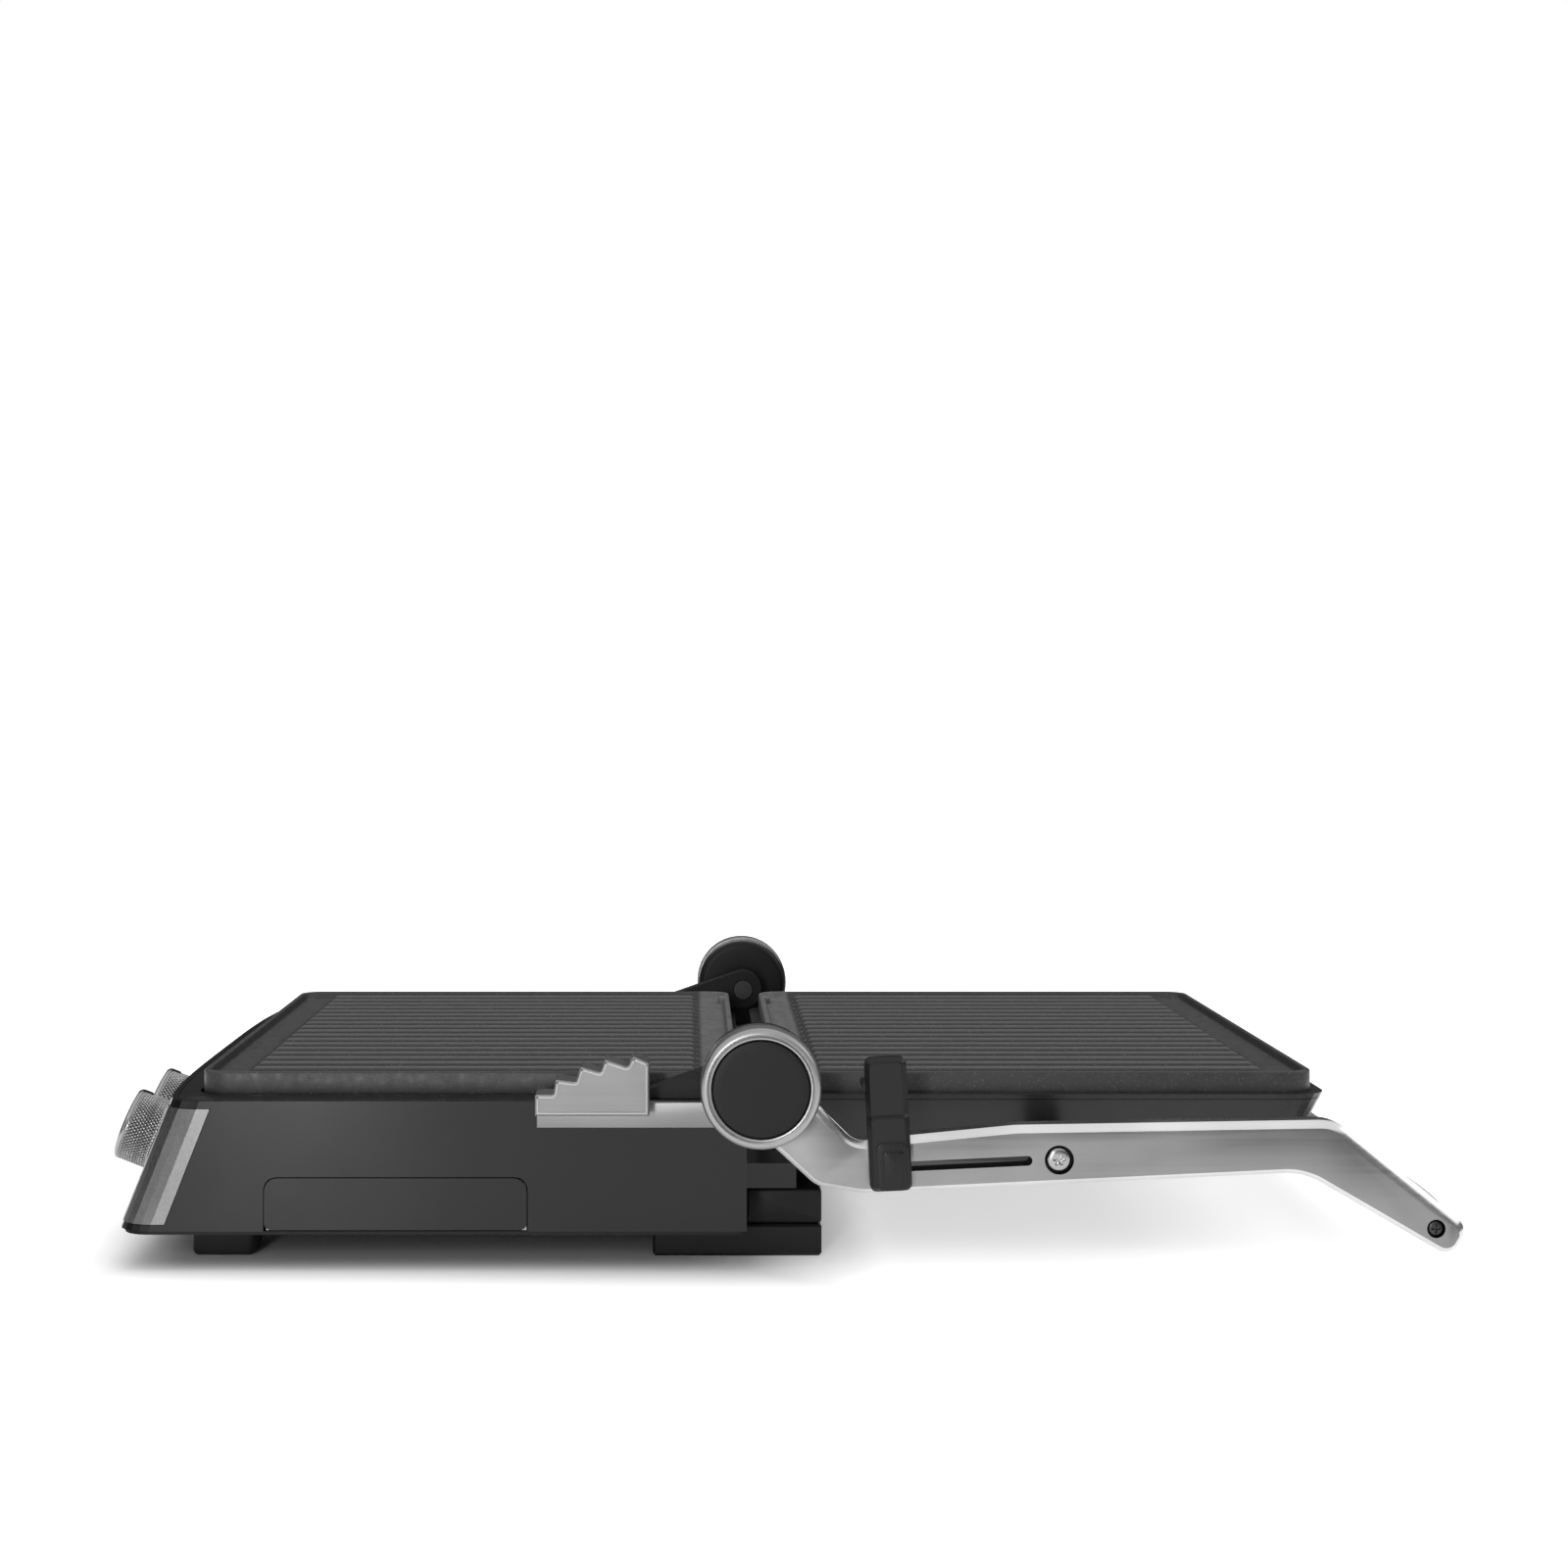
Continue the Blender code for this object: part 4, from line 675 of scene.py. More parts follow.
@dataclass
class ControlKnob:
    """A knurled knob on its skirt, with a mark over its rim."""

    word: str
    across: float
    front_bow: float = 0.0065
    bow_power: int = 4
    lean: float = math.radians(21.5)
    radius: float = 0.0165
    skirt_radius: float = 0.0182
    skirt: float = 0.0022
    tall: float = 0.0165
    knurls: int = 63
    knurl_deep: float = 0.00045
    segments: int = 504

    def place(self) -> Place:
        """The knob's frame: its foot on the bowed, leaning panel and its third axis out of it."""
        x = self.across
        slope = self.bow_power * self.front_bow * x ** (self.bow_power - 1) / BASE_HALF ** self.bow_power
        out = np.array([slope, -1.0, math.tan(self.lean)])
        out /= np.linalg.norm(out)
        side = np.cross(out, (0.0, 0.0, 1.0))
        side /= -np.linalg.norm(side)
        up = np.cross(out, side)
        bow = self.front_bow * (1 - (x / BASE_HALF) ** self.bow_power)
        y = -(0.2585 + bow) + (0.0425 - 0.04375) * math.tan(self.lean)
        origin = np.array([x, y + HINGE_Y, 0.0425]) + out * 0.0004
        return Place(tuple(origin), (tuple(side), tuple(up), tuple(out)))

    def relief(self, angle: Array, radius: Array, height: Array) -> Array:
        """Diamond knurling: two crossed sine waves over angle and height, whichever stands
        higher, fading out at the ends of the knurled band."""
        turn = self.knurls * angle
        twist = height / self.tall * self.knurls * 0.74
        ridge = np.maximum(np.sin(turn + twist), np.sin(turn - twist))
        band = smooth((height - 0.0031) / 0.0008) * smooth((self.skirt + self.tall - 0.0029 - height) / 0.0006)
        outer = (radius > self.radius - 0.0006).astype(float)
        return self.knurl_deep * (ridge - 1.0) * band * outer

    def build(self) -> None:
        """Knob, mark and skirt."""
        low, high, r = self.skirt + 0.0004, self.skirt + self.tall, self.radius
        rows = np.linspace(low + 0.0006, high - 0.0025, 58)
        side = [(r - 0.0005, z) for z in rows]
        dome = [(r - 0.0002 - 0.0022 * (1 - math.cos(a)), high - 0.0023 + 0.0022 * math.sin(a))
                for a in np.linspace(0.0, math.pi / 2, 8)]
        face = [(r - 0.0034, high - 0.0003), (r - 0.0040, high - 0.0006), (r - 0.006, high - 0.0006)]
        profile = [(0.0, low), (r - 0.0012, low), (r - 0.0006, low + 0.0003)] + side + dome + face
        profile.append((0.0, high - 0.0004))
        place = self.place()
        knob = object_from(f"{self.word}_grip", turned(profile, self.segments, place, self.relief), 50.0)
        fitted(knob, self.word, "bright_steel", BRIGHT_STEEL, stands_for=[f"{self.word}_knob"])
        self.build_mark(place)
        rim = self.skirt_radius
        plate = [(0.0034, 0.0003), (rim, 0.0003), (rim, self.skirt - 0.0006), (rim - 0.0002, self.skirt - 0.0002),
                 (rim - 0.0006, self.skirt), (0.0034, self.skirt)]
        skirt = object_from(f"{self.word}_collar", turned(plate, 72, place))
        fitted(skirt, "base", "gloss_black", GLOSS_BLACK, stands_for=[f"{self.word}_skirt"])

    def build_mark(self, place: Place) -> None:
        """A thin black strip: a cross-section of constant width carried down over the rim."""
        path = np.array([(0.00005, -0.0061), (0.00005, -0.0025), (-0.0001, -0.0016), (-0.0006, -0.0007),
                         (-0.0014, -0.0001), (-0.0024, 0.00008), (-0.0042, -0.0002), (-0.0070, -0.0003)])
        path = path + np.array([self.radius, self.skirt + self.tall])
        deep = path - np.array([0.0007, 0.0007])
        half = 0.0011
        loop = np.concatenate([path, deep[::-1]])
        local = [np.column_stack([np.full(len(loop), u), loop]) for u in (-half, half)]
        count = len(loop)
        faces = wall_faces(2, count)[:, ::-1].tolist()
        faces += [list(range(count)), [count + i for i in range(count)][::-1]]
        mark = object_from(f"{self.word}_mark", settle(np.concatenate(local), faces, place))
        fitted(mark, self.word, "satin_black", MARK_BLACK)


@dataclass
class Hub:
    """Cap, push button and inner cover round one end of the hinge."""

    side: int
    radius: float = 0.0247
    button_radius: float = 0.0199

    def build(self) -> None:
        """Turns the three pieces about the hinge axis."""
        word = "right" if self.side > 0 else "left"
        facing = Facing.RIGHT if self.side > 0 else Facing.LEFT
        place = Place.facing(facing, (0.0, HINGE_Y, HINGE_Z))
        r, out = self.radius, HUB_OUTER
        seat = ARM_OUTER + 0.005
        bore = self.button_radius + 0.0003
        ring = [(0.0044, ARM_OUTER + 0.0003), (r - 0.0003, ARM_OUTER + 0.0003), (r, ARM_OUTER + 0.0008)]
        ring += [(r, out - 0.0034)]
        ring += [(r - 0.0024 * (1 - math.cos(a)), out - 0.0034 + 0.0026 * math.sin(a))
                 for a in np.linspace(0.15, math.pi / 2, 7)]
        ring += [(r - 0.0028, out - 0.0010), (r - 0.0031, out - 0.0011), (r - 0.0035, out - 0.0006)]
        ring += [(bore + 0.0008, out - 0.0001), (bore + 0.0003, out - 0.0002), (bore, out - 0.0006)]
        ring += [(bore, seat), (0.0044, seat)]
        cap = object_from(f"hub_ring_{word}", turned(ring, 160, place), 24.0)
        fitted(cap, "lid", "aluminium", SPUN, stands_for=[f"hub_cap_{word}"])
        b, top = self.button_radius, out - 0.0005
        disc = [(0.0, ARM_OUTER + 0.0043), (0.004, ARM_OUTER + 0.0043), (0.004, top - 0.0052), (b, top - 0.0052)]
        disc += [(b, top - 0.0010)]
        disc += [(b - 0.0008 * (1 - math.cos(a)), top - 0.0008 + 0.0008 * math.sin(a))
                 for a in np.linspace(0.2, math.pi / 2, 5)]
        disc += [(b - 0.004, top + 0.00003), (0.0, top)]
        button = object_from(f"hub_disc_{word}", turned(disc, 128, place))
        fitted(button, f"hub_button_{word}", "satin_black", SATIN_BLACK, stands_for=[f"hub_button_{word}"])
        low = ARM_INNER - 0.0037
        lip = [(0.0054, low + 0.0003), (0.010, low), (r - 0.0040, low)]
        lip += [(r - 0.0040 + 0.0034 * math.sin(a), low + 0.0034 * (1 - math.cos(a)))
                for a in np.linspace(0.15, math.pi / 2, 8)]
        lip += [(0.0054, ARM_INNER - 0.0003)]
        cover = object_from(f"hub_shield_{word}", turned(lip, 96, place), 24.0)
        fitted(cover, "lid", "satin_black", SATIN_BLACK, stands_for=[f"hub_cover_{word}"])


@dataclass
class Arm:
    """One cranked arm with polished bevels, and its two screws."""

    side: int
    bevel: float = 0.0034
    eye_radius: float = 0.0240
    slot_start: tuple = (0.049, -0.0342)
    slot_lean: float = math.radians(2.7)
    slot_span: float = 0.061
    slot_tall: float = 0.004

    def outline(self) -> Array:
        """Side profile, counter-clockwise: the eye round the hinge, the bar and the tip."""
        angle = np.radians(np.linspace(-18.0, 278.0, 60))
        eye = self.eye_radius * np.column_stack([np.cos(angle), np.sin(angle)])
        tip = ARM_REACH
        corners = [(0.023, -0.0418), (0.042, -0.0449), (tip - 0.0663, -0.0363), (tip - 0.0055, -0.0716),
                   (tip + 0.0018, -0.0589), (tip - 0.0528, -0.0146), (0.105, -0.0168), (0.064, -0.0208),
                   (0.0390, -0.0236)]
        radii = [0.012, 0.020, 0.028, 0.0065, 0.0065, 0.020, 0.060, 0.030, 0.010]
        run = rounded([tuple(eye[-1])] + corners + [tuple(eye[0])], [0.0] + radii + [0.0], 10)
        loop = np.concatenate([eye[1:-1], run])
        return loop + np.array([HINGE_Y, HINGE_Z])

    def slot(self) -> Array:
        """The slot's outline: two half circles joined by straight sides."""
        r = self.slot_tall / 2
        far = np.linspace(-math.pi / 2, math.pi / 2, 13)
        near = far + math.pi
        local = np.concatenate([np.column_stack([self.slot_span + r * np.cos(far), r * np.sin(far)]),
                                np.column_stack([r * np.cos(near), r * np.sin(near)])])
        c, s = math.cos(self.slot_lean), math.sin(self.slot_lean)
        turned_to = local @ np.array([[c, s], [-s, c]])
        return turned_to + np.array(self.slot_start) + np.array([HINGE_Y, HINGE_Z])

    def build(self) -> None:
        """The arm, pierced for its screws and on the right for the latch, and the screws."""
        word = "right" if self.side > 0 else "left"
        facing = Facing.RIGHT if self.side > 0 else Facing.LEFT
        place = Place.facing(facing)
        low, high = ARM_INNER, ARM_OUTER
        b = self.bevel
        loop = self.outline()
        ahead = np.roll(loop, -1, 0) - np.roll(loop, 1, 0)
        up = -ahead[:, 0] / np.maximum(np.linalg.norm(ahead, axis=1), 1e-9)
        share = (0.55 + 0.45 * smooth((up + 0.5) / 1.0))[:, None]
        levels = [(b * 0.5, low), (0.0003, low + b * 0.40), (0.0, low + b * 0.50), (0.0, high - b * 0.55),
                  (0.0002, high - b * 0.46), (b * 0.95, high - 0.0001), (b * 1.03, high)]
        arm = object_from(f"arm_bar_{word}", stacked(loop, levels, place, share), 20.0)
        normal = np.empty(len(arm.data.polygons) * 3)
        arm.data.polygons.foreach_get("normal", normal)
        tilt = np.abs(normal.reshape(-1, 3)[:, 0])
        arm.data.materials.append(BRUSHED.material())
        arm.data.materials.append(POLISHED.material())
        arm.data.polygons.foreach_set("material_index", np.where(tilt > 0.999, 0, 1).astype(np.int32))
        cutters = []
        for (y, z), recess, head in ((PIVOT, 0.006, 0.0035), (TIP_SCREW, 0.0038, 0.0030)):
            hole = [(0.0, high - head - 0.0007), (recess, high - head - 0.0007), (recess, high + 0.002),
                    (0.0, high + 0.002)]
            cutters.append(turned(hole, 40, Place.facing(facing, (0.0, y, z))))
        if self.side > 0:
            cutters.append(stacked(self.slot(), [(0.0, low - 0.002), (0.0, high + 0.002)], place))
        pierced(arm, *cutters)
        self.paint_recess_shade(arm)
        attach(arm, "lid")
        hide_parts(f"arm_{word}")
        LOG.info("%s on lid, %d faces", arm.name, len(arm.data.polygons))
        self.screw(f"pivot_bolt_{word}", f"pivot_screw_{word}", PIVOT, 0.0050, facing, 6, BRIGHT_STEEL)
        self.screw(f"tip_bolt_{word}", f"tip_screw_{word}", TIP_SCREW, 0.0033, facing, 4, DARK_STEEL)

    def paint_recess_shade(self, arm: bpy.types.Object) -> None:
        """Paints shade into the screw recesses and the slot: their floors and walls, the faces below the arm's
        outer face that lie within each one's radius of its middle line, take the black moulding finish as painted
        shade."""
        count = len(arm.data.polygons)
        centre = np.empty(count * 3)
        arm.data.polygons.foreach_get("center", centre)
        centre = centre.reshape(-1, 3)
        index = np.zeros(count, np.int32)
        arm.data.polygons.foreach_get("material_index", index)
        c, s = math.cos(self.slot_lean), math.sin(self.slot_lean)
        start = np.array(self.slot_start) + np.array([HINGE_Y, HINGE_Z])
        ends = start, start + self.slot_span * np.array([c, s])
        sunk = np.abs(centre[:, 0]) < ARM_OUTER - 0.0003
        inside = np.zeros(count, bool)
        for first, last, radius in ((PIVOT, PIVOT, 0.0061), (TIP_SCREW, TIP_SCREW, 0.0039), (*ends, 0.0021)):
            run = np.array(last) - np.array(first)
            away = centre[:, 1:] - np.array(first)
            share = np.clip(away @ run / max(float(run @ run), 1e-12), 0.0, 1.0)
            inside |= np.linalg.norm(away - share[:, None] * run, axis=1) < radius
        # painted shade: the recess and slot faces take the black moulding finish
        arm.data.materials.append(SATIN_BLACK.material())
        arm.data.polygons.foreach_set("material_index", np.where(inside & sunk, 2, index).astype(np.int32))

    def screw(self, name: str, node: str, at: tuple, radius: float, facing: Facing, points: int,
              finish: Finish) -> None:
        """A screw: a domed head with a star or cross socket, and its shank.

        The socket is a drop in the head's height where the radius is less than a wave in the
        angle with the given number of points.

        Args:
            name: the piece's name.
            node: the CAD node it stands for.
            at: its (Y, Z).
            radius: of its head.
            facing: which arm it is in.
            points: points of the socket.
            finish: its finish.
        """
        place = Place.facing(facing, (0.0, *at))
        top = ARM_OUTER - 0.0006
        angle = np.linspace(0.0, math.tau, 120, endpoint=False)
        wave = np.cos(points * angle)
        star = 0.42 + (0.10 * wave if points == 6 else 0.16 * np.sign(wave) * np.abs(wave) ** 0.5)
        rows = []
        for share in (0.55, 1.0):
            rows.append((star * radius * share, np.full(120, top - 0.0016 - 0.0002 * (share < 1.0))))
        rows.append((star * radius * 1.06, np.full(120, top)))
        for r, drop in ((0.66, 0.00005), (0.86, 0.0003), (0.97, 0.0007), (1.0, 0.0012)):
            rows.append((np.full(120, r * radius), np.full(120, top - drop)))
        rows.append((np.full(120, radius), np.full(120, top - 0.0026)))
        rows.append((np.full(120, radius * 0.5), np.full(120, top - 0.0026)))
        rows.append((np.full(120, radius * 0.5), np.full(120, top - 0.018)))
        ring = [np.stack([r * np.cos(angle), r * np.sin(angle), z], 1) for r, z in rows]
        pole_high, pole_low = (0.0, 0.0, top - 0.0018), (0.0, 0.0, top - 0.018)
        points_all = np.concatenate(ring + [np.array([pole_high, pole_low])])
        faces = wall_faces(len(rows), 120)[:, ::-1].tolist()
        last = (len(rows) - 1) * 120
        high, low = len(points_all) - 2, len(points_all) - 1
        faces += [[high, j, (j + 1) % 120] for j in range(120)]
        faces += [[low, last + (j + 1) % 120, last + j] for j in range(120)]
        bolt = object_from(name, settle(points_all, faces, place), 35.0)
        fitted(bolt, "lid", "bright_steel", finish, stands_for=[node])


@dataclass
class Handle:
    """The oval bar between the arms' tips."""

    wide: float = 0.034
    thick: float = 0.0175
    lean: float = math.radians(-37.0)
    centre: tuple = (ARM_REACH - 0.0195, -0.0515)
    half: float = 0.1826

    def build(self) -> None:
        """A superellipse carried along X, drawn in over a quarter circle at each end."""
        angle = np.linspace(0.0, math.tau, 64, endpoint=False)
        c, s = np.cos(angle), np.sin(angle)
        oval = np.column_stack([self.wide / 2 * np.sign(c) * np.abs(c) ** 0.8,
                                self.thick / 2 * np.sign(s) * np.abs(s) ** 0.8])
        cl, sl = math.cos(self.lean), math.sin(self.lean)
        oval = oval @ np.array([[cl, sl], [-sl, cl]])
        oval += np.array([self.centre[0] + HINGE_Y, self.centre[1] + HINGE_Z])
        levels = fillet(-self.half, self.half, 0.0015, 5)
        bar = object_from("handle_grip", stacked(oval, levels, Place.facing(Facing.RIGHT)))
        fitted(bar, "lid", "aluminium", BLASTED, stands_for=["handle_bar"])


@dataclass
class HeightLatch:
    """The slider on the right arm, its pressed button and the lug that rests on the rack."""

    lean: float = math.radians(2.7)
    start: tuple = (0.049, -0.0342)
    left: float = -0.0045
    wide: float = 0.0172
    low: float = -0.0085
    high: float = 0.0460
    crease: float = 0.0235
    near: float = ARM_OUTER + 0.0003

    def place(self) -> Place:
        """The latch's frame: first axis along the slot, second up from it, third out of the arm."""
        c, s = math.cos(self.lean), math.sin(self.lean)
        y, z = self.start
        return Place((0.0, y + HINGE_Y, z + HINGE_Z), ((0, c, s), (0, -s, c), (1, 0, 0)))

    def build(self) -> None:
        """Body in two steps, frame, button, stem, lug and the keeper inside the arm."""
        place = self.place()
        left, right, near = self.left, self.left + self.wide, self.near
        far = near + 0.0085
        lower = rectangle((left, right), (self.low, self.crease), 0.0028)
        upper = rectangle((left + 0.0001, right - 0.0001), (self.crease - 0.004, self.high), 0.0030)
        levels = [(0.0004, near), (0.0, near + 0.0004), (0.0, far - 0.0022), (0.0016, far - 0.0003),
                  (0.0023, far)]
        step = [(inset, height - (0.0012 if height > near + 0.001 else 0.0)) for inset, height in levels]
        body = merged(stacked(lower, levels, place), stacked(upper, step, place),
                      self.stem(place), self.lug(place))
        slider = object_from("latch_body", body, 18.0)
        fitted(slider, "latch", "dark_grey", DARK_GREY, stands_for=["latch_slider"])
        foot = self.low + 0.0004
        raised = rectangle((left + 0.0030, right - 0.0008), (foot, self.low + 0.0205), 0.0030)
        rise = [(0.0, far - 0.0010), (0.0, far + 0.0001), (0.0006, far + 0.0005), (0.0012, far + 0.0006)]
        rim = object_from("latch_frame", stacked(raised, rise, place), 18.0)
        fitted(rim, "latch", "dark_grey", DARK_GREY)
        window = rectangle((left + 0.0054, right - 0.0030), (foot + 0.0002, self.low + 0.0170), 0.0018)
        lift = [(0.0, far + 0.0002), (0.0, far + 0.0008), (0.0005, far + 0.0011), (0.0009, far + 0.0012)]
        pad = object_from("latch_button", stacked(window, lift, place), 18.0)
        fitted(pad, "latch", "dark_grey", DARK_GREY)
        keeper = rectangle((-0.004, 0.009), (-0.0055, 0.0055), 0.0012)
        plate = stacked(keeper, fillet(ARM_INNER - 0.0028, ARM_INNER - 0.0003, 0.0004, 3), place)
        fitted(object_from("latch_keeper", plate), "latch", "zinc", ZINC, stands_for=["latch_retainer"])

    def stem(self, place: Place) -> Solid:
        """The tongue through the arm's slot."""
        tongue = rectangle((0.0, 0.005), (-0.0016, 0.0016), 0.0006, 3)
        return stacked(tongue, [(0.0, ARM_INNER), (0.0, self.near + 0.001)], place)

    def lug(self, place: Place) -> Solid:
        """The round lug that lies across the rack's steps."""
        angle = np.linspace(0.0, math.tau, 24, endpoint=False)
        circle = 0.0018 * np.column_stack([np.cos(angle), np.sin(angle)])
        circle += np.array([self.left + 0.0006, self.high - 0.012])
        return stacked(circle, [(0.0003, 0.1813), (0.0, 0.1816), (0.0, self.near + 0.002)], place)


@dataclass
class HeightRack:
    """The stepped rack beside the hinge, with the strap that holds it."""

    strap_low: float = 0.0613
    strap_high: float = 0.0722
    front: float = -0.0930
    outer: float = 0.190
    strap_outer: float = 0.178
    steps: tuple = ((-0.0930, -0.0855, 0.0770, 0.0770), (-0.0845, -0.0762, 0.0832, 0.0822),
                    (-0.0742, -0.0660, 0.0886, 0.0862), (-0.0640, -0.0548, 0.0915, 0.0884),
                    (-0.0524, -0.0457, 0.0929, 0.0900))

    def build(self) -> None:
        """Strap with its eye, the stepped block and a raised line along its steps, in paler metal as a painted
        highlight on the step edge.
        """
        place = Place.facing(Facing.RIGHT, (0.0, HINGE_Y, 0.0))
        angle = np.radians(np.linspace(-90.0, 130.0, 40))
        eye = 0.0130 * np.column_stack([np.cos(angle), np.sin(angle)]) + np.array([0.0, HINGE_Z])
        loop = np.concatenate([[(self.front, self.strap_low), (-0.012, self.strap_low)], eye,
                               [(-0.024, self.strap_high), (self.front, self.strap_high)]])
        strap = object_from("rack_strap", stacked(loop, fillet(BASE_HALF + 0.0003, self.strap_outer, 0.0006, 3),
                                                  place), 12.0)
        hole = turned([(0.0, 0.16), (0.0053, 0.16), (0.0053, 0.19), (0.0, 0.19)], 32,
                      Place.facing(Facing.RIGHT, (0.0, HINGE_Y, HINGE_Z)))
        pierced(strap, hole)
        fitted(strap, "base", "light_metal", PALE_METAL, stands_for=["height_rack"])
        treads = []
        for y0, y1, z0, z1 in self.steps:
            treads += [(y0, z0), (y1, z1)]
        foot = self.strap_high - 0.004
        corners = [(self.front, foot), (self.steps[-1][1], foot)] + treads[::-1]
        radii = [0.0, 0.0] + [0.0007] * len(treads)
        block = rounded(corners, radii, 4)
        low = BASE_HALF + 0.0024
        ladder = object_from("rack_steps", stacked(block, fillet(low, self.outer - 0.0006, 0.0005, 3), place), 12.0)
        fitted(ladder, "base", "light_metal", PALE_METAL)
        # painted highlight: a raised strip along the step edges in paler metal than the rack
        line = rounded(corners, radii, 4)
        raised = [(0.0004, self.outer - 0.002), (0.0004, self.outer - 0.0004), (0.0008, self.outer)]
        groove = drawn_in(line, 0.0014)
        rows = [np.column_stack([drawn_in(line, inset), np.full(len(line), z)]) for inset, z in raised]
        rows += [np.column_stack([groove, np.full(len(line), z)]) for z in (self.outer, self.outer - 0.002)]
        faces = wall_faces(len(rows) + 1, len(line)) % (len(rows) * len(line))
        edge = object_from("rack_edge", settle(np.concatenate(rows), faces.tolist(), place), 28.0)
        fitted(edge, "base", "light_metal", SPUN)


@dataclass
class Supports:
    """The front feet and the block above the bar under the hinge."""

    half: float = 0.140

    def build(self) -> None:
        """Rounded blocks that stand for the plain ones."""
        for side, word in ((1, "right"), (-1, "left")):
            x = (0.115, 0.139) if side > 0 else (-0.139, -0.115)
            loop = rectangle(x, (-0.244 + HINGE_Y, -0.217 + HINGE_Y), 0.003)
            foot = stacked(loop, [(0.0016, 0.0), (0.0007, 0.0006), (0.0, 0.0022), (0.0, 0.0144)], Place())
            fitted(object_from(f"foot_{word}", foot), "base", "rubber", RUBBER, stands_for=[f"front_foot_{word}"])
        side_place = Place.facing(Facing.RIGHT)
        h = self.half
        block = rectangle((-0.0047 + HINGE_Y, 0.028 + HINGE_Y), (0.014, 0.029), 0.0016)
        fitted(object_from("rear_block", stacked(block, fillet(-h, h, 0.0016), side_place)),
               "base", "satin_black", SATIN_BLACK, stands_for=["rear_support"])


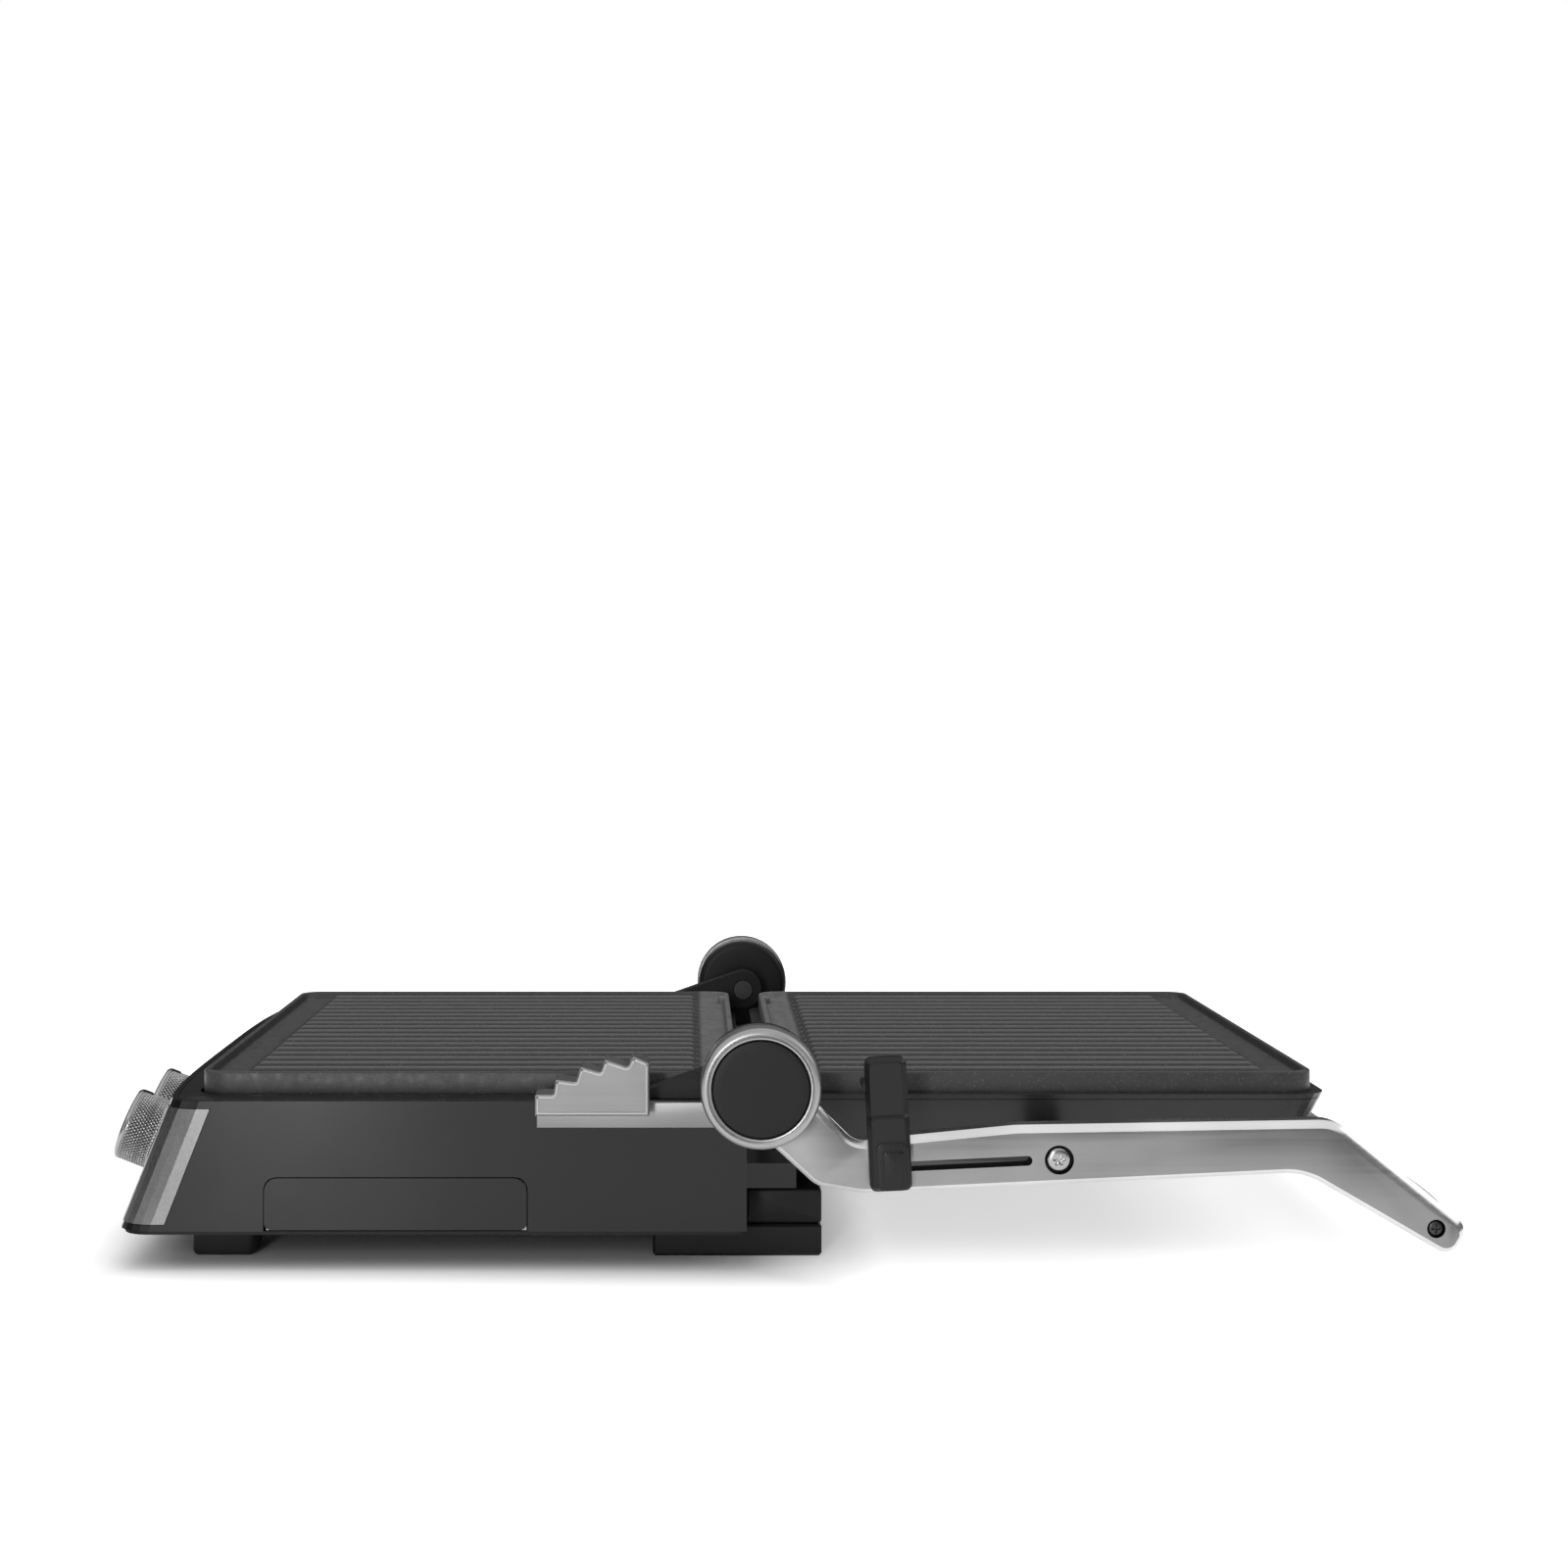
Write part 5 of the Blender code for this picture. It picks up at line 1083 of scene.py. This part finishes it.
@dataclass
class Studio:
    """Floor, light and camera."""

    surround: float = 0.15
    dome_strength: float = 2.4
    dome_angle: float = math.radians(120.0)
    lamps: tuple = (
        ("side_strip", (2.6, -0.56, 0.55), (0.17, -0.17, 0.05), (0.26, 1.1), 22.0),
        ("front_sweep", (0.9, -1.9, 0.8), (0.0, -0.2, 0.05), (0.7, 1.2), 4.0),
        ("rear_sweep", (0.3, 2.0, 1.1), (0.15, 0.2, 0.05), (1.8, 0.9), 8.0),
    )

    def build(self) -> None:
        """Makes the stage, the lamps and the camera."""
        self.lay_floor()
        world = bpy.data.worlds.new("studio")
        bpy.context.scene.world = world
        world.use_nodes = True
        self.light_round(world.node_tree)
        dome = bpy.data.lights.new("dome", "SUN")
        dome.energy = self.dome_strength
        dome.angle = self.dome_angle
        bpy.context.scene.collection.objects.link(bpy.data.objects.new("dome", dome))
        for name, at, toward, size, power in self.lamps:
            self.hang(name, at, toward, size, power)
        self.aim()
        bpy.context.scene.view_settings.view_transform = "Standard"

    def light_round(self, tree: bpy.types.NodeTree) -> None:
        """White behind the object, and a dim surround that is brighter toward +X and above."""
        background = tree.nodes["Background"]
        way = tree.nodes.new("ShaderNodeTexCoord").outputs["Generated"]
        lean = tree.nodes.new("ShaderNodeVectorMath")
        lean.operation = "DOT_PRODUCT"
        tree.links.new(way, lean.inputs[0])
        lean.inputs[1].default_value = (0.6, 0.0, 0.5)
        level = tree.nodes.new("ShaderNodeMapRange")
        tree.links.new(lean.outputs["Value"], level.inputs["Value"])
        for key, number in (("From Min", -0.5), ("From Max", 0.8), ("To Min", 0.3), ("To Max", 1.8)):
            level.inputs[key].default_value = number
        dim = tree.nodes.new("ShaderNodeMath")
        dim.operation = "MULTIPLY"
        tree.links.new(level.outputs[0], dim.inputs[0])
        dim.inputs[1].default_value = self.surround
        seen = tree.nodes.new("ShaderNodeLightPath").outputs["Is Camera Ray"]
        pick = tree.nodes.new("ShaderNodeMath")
        pick.operation = "MAXIMUM"
        tree.links.new(dim.outputs[0], pick.inputs[0])
        tree.links.new(seen, pick.inputs[1])
        background.inputs["Color"].default_value = (1.0, 1.0, 1.0, 1.0)
        tree.links.new(pick.outputs[0], background.inputs["Strength"])

    def lay_floor(self) -> None:
        """A pale floor, with a painted shadow under and round the base."""
        half = 6.0
        points = np.array([(-half, -half, 0.0), (half, -half, 0.0), (half, half, 0.0), (-half, half, 0.0)])
        floor = object_from("floor", (points - np.array([0.0, 0.0, 0.0002]), [[0, 1, 2, 3]]))
        bench = Bench("floor_white")
        bench.shader.inputs["Base Color"].default_value = (0.93, 0.93, 0.93, 1.0)
        bench.shader.inputs["Roughness"].default_value = 0.7
        self.glow_floor_with_painted_shadow(bench)
        floor.data.materials.append(bench.material)

    def glow_floor_with_painted_shadow(self, bench: Bench) -> None:
        """Lets the floor glow evenly, like a lit table, away from the base, with a painted shadow round it.

        The glow is nil under the base and rises with the distance outside the base's outline, which is the greater
        of the distances outside its two pairs of sides, so the floor is painted darker near the base as a painted
        shadow.
        """
        apart = bench.node("ShaderNodeSeparateXYZ", Vector=bench.mapped((1.0, 1.0, 1.0), (0.0, 0.135, 0.0)))
        beside = bench.math("SUBTRACT", bench.math("ABSOLUTE", apart.outputs[0]), 0.165)
        before = bench.math("SUBTRACT", bench.math("ABSOLUTE", apart.outputs[1]), 0.130)
        outside = bench.math("MAXIMUM", beside, before)
        # painted shadow: no glow under the base, rising over 6 cm outside its outline
        glow = bench.ranged(outside, (0.0, 0.06), (0.0, 0.62))
        bench.shader.inputs["Emission Color"].default_value = (1.0, 1.0, 1.0, 1.0)
        bench.feed(bench.shader.inputs["Emission Strength"], glow)

    def hang(self, name: str, at: tuple, toward: tuple, size: tuple, power: float) -> None:
        """A soft rectangular lamp aimed at a point."""
        lamp = bpy.data.lights.new(name, "AREA")
        lamp.shape = "RECTANGLE"
        lamp.size, lamp.size_y = size
        lamp.energy = power
        obj = bpy.data.objects.new(name, lamp)
        obj.location = at
        way = np.array(toward) - np.array(at)
        level = float(np.hypot(way[0], way[1]))
        obj.rotation_euler = (math.atan2(level, -way[2]), 0.0, math.atan2(-way[0], way[1]))
        bpy.context.scene.collection.objects.link(obj)

    def aim(self) -> None:
        """The camera, level with the hinge's line and looking along -X."""
        lens = bpy.data.cameras.new("camera")
        lens.lens = 61.425
        lens.sensor_width = 36.0
        lens.shift_x = 0.06046
        lens.shift_y = -0.05875
        lens.clip_start = 0.01
        camera = bpy.data.objects.new("camera", lens)
        camera.location = (1.295, HINGE_Y - 0.0292, 0.2435)
        camera.rotation_euler = (math.pi / 2, 0.0, math.pi / 2)
        bpy.context.scene.collection.objects.link(camera)
        bpy.context.scene.camera = camera


def dress_carried(replaced: set[str]) -> None:
    """Gives every CAD node that stays in view the finish of its material slot.

    Args:
        replaced: nodes that another piece stands for.
    """
    slots = {part["node"]: part["material_slot"] for part in frame["record"]["subparts"]}
    for name, node in frame["nodes"].items():
        if name in replaced:
            continue
        finish = DARK_STEEL if name.startswith("hinge_pin") else SLOT_FINISHES[slots[name]]
        node.data.materials.clear()
        node.data.materials.append(finish.material())
        LOG.info("%s keeps its shape, in %s", name, finish.name)


def main() -> None:
    """Builds the sub-assemblies in order, then the studio."""
    logging.basicConfig(level=logging.INFO, format="%(message)s")
    GrillPlate("lower_grid", "base", "lower_plate", HINGE_Y - PLATE_MID, -1.0).build()
    GrillPlate("upper_grid", "head", "upper_plate", HINGE_Y + PLATE_MID, 1.0).build()
    for word, across in (("timer", 0.088), ("thermostat", 0.021)):
        ControlKnob(word, across).build()
    for side in (1, -1):
        Hub(side).build()
        Arm(side).build()
    Handle().build()
    HeightLatch().build()
    HeightRack().build()
    Supports().build()
    replaced = {"lower_plate", "upper_plate", "handle_bar", "latch_slider", "latch_retainer", "height_rack",
                "rear_support"}
    for word in ("right", "left"):
        replaced |= {f"{stem}_{word}" for stem in ("arm", "hub_cap", "hub_button", "hub_cover", "pivot_screw",
                                                   "tip_screw", "front_foot")}
    for word in ("timer", "thermostat"):
        replaced |= {f"{word}_knob", f"{word}_skirt"}
    dress_carried(replaced)
    Studio().build()


if __name__ == "__main__":
    main()
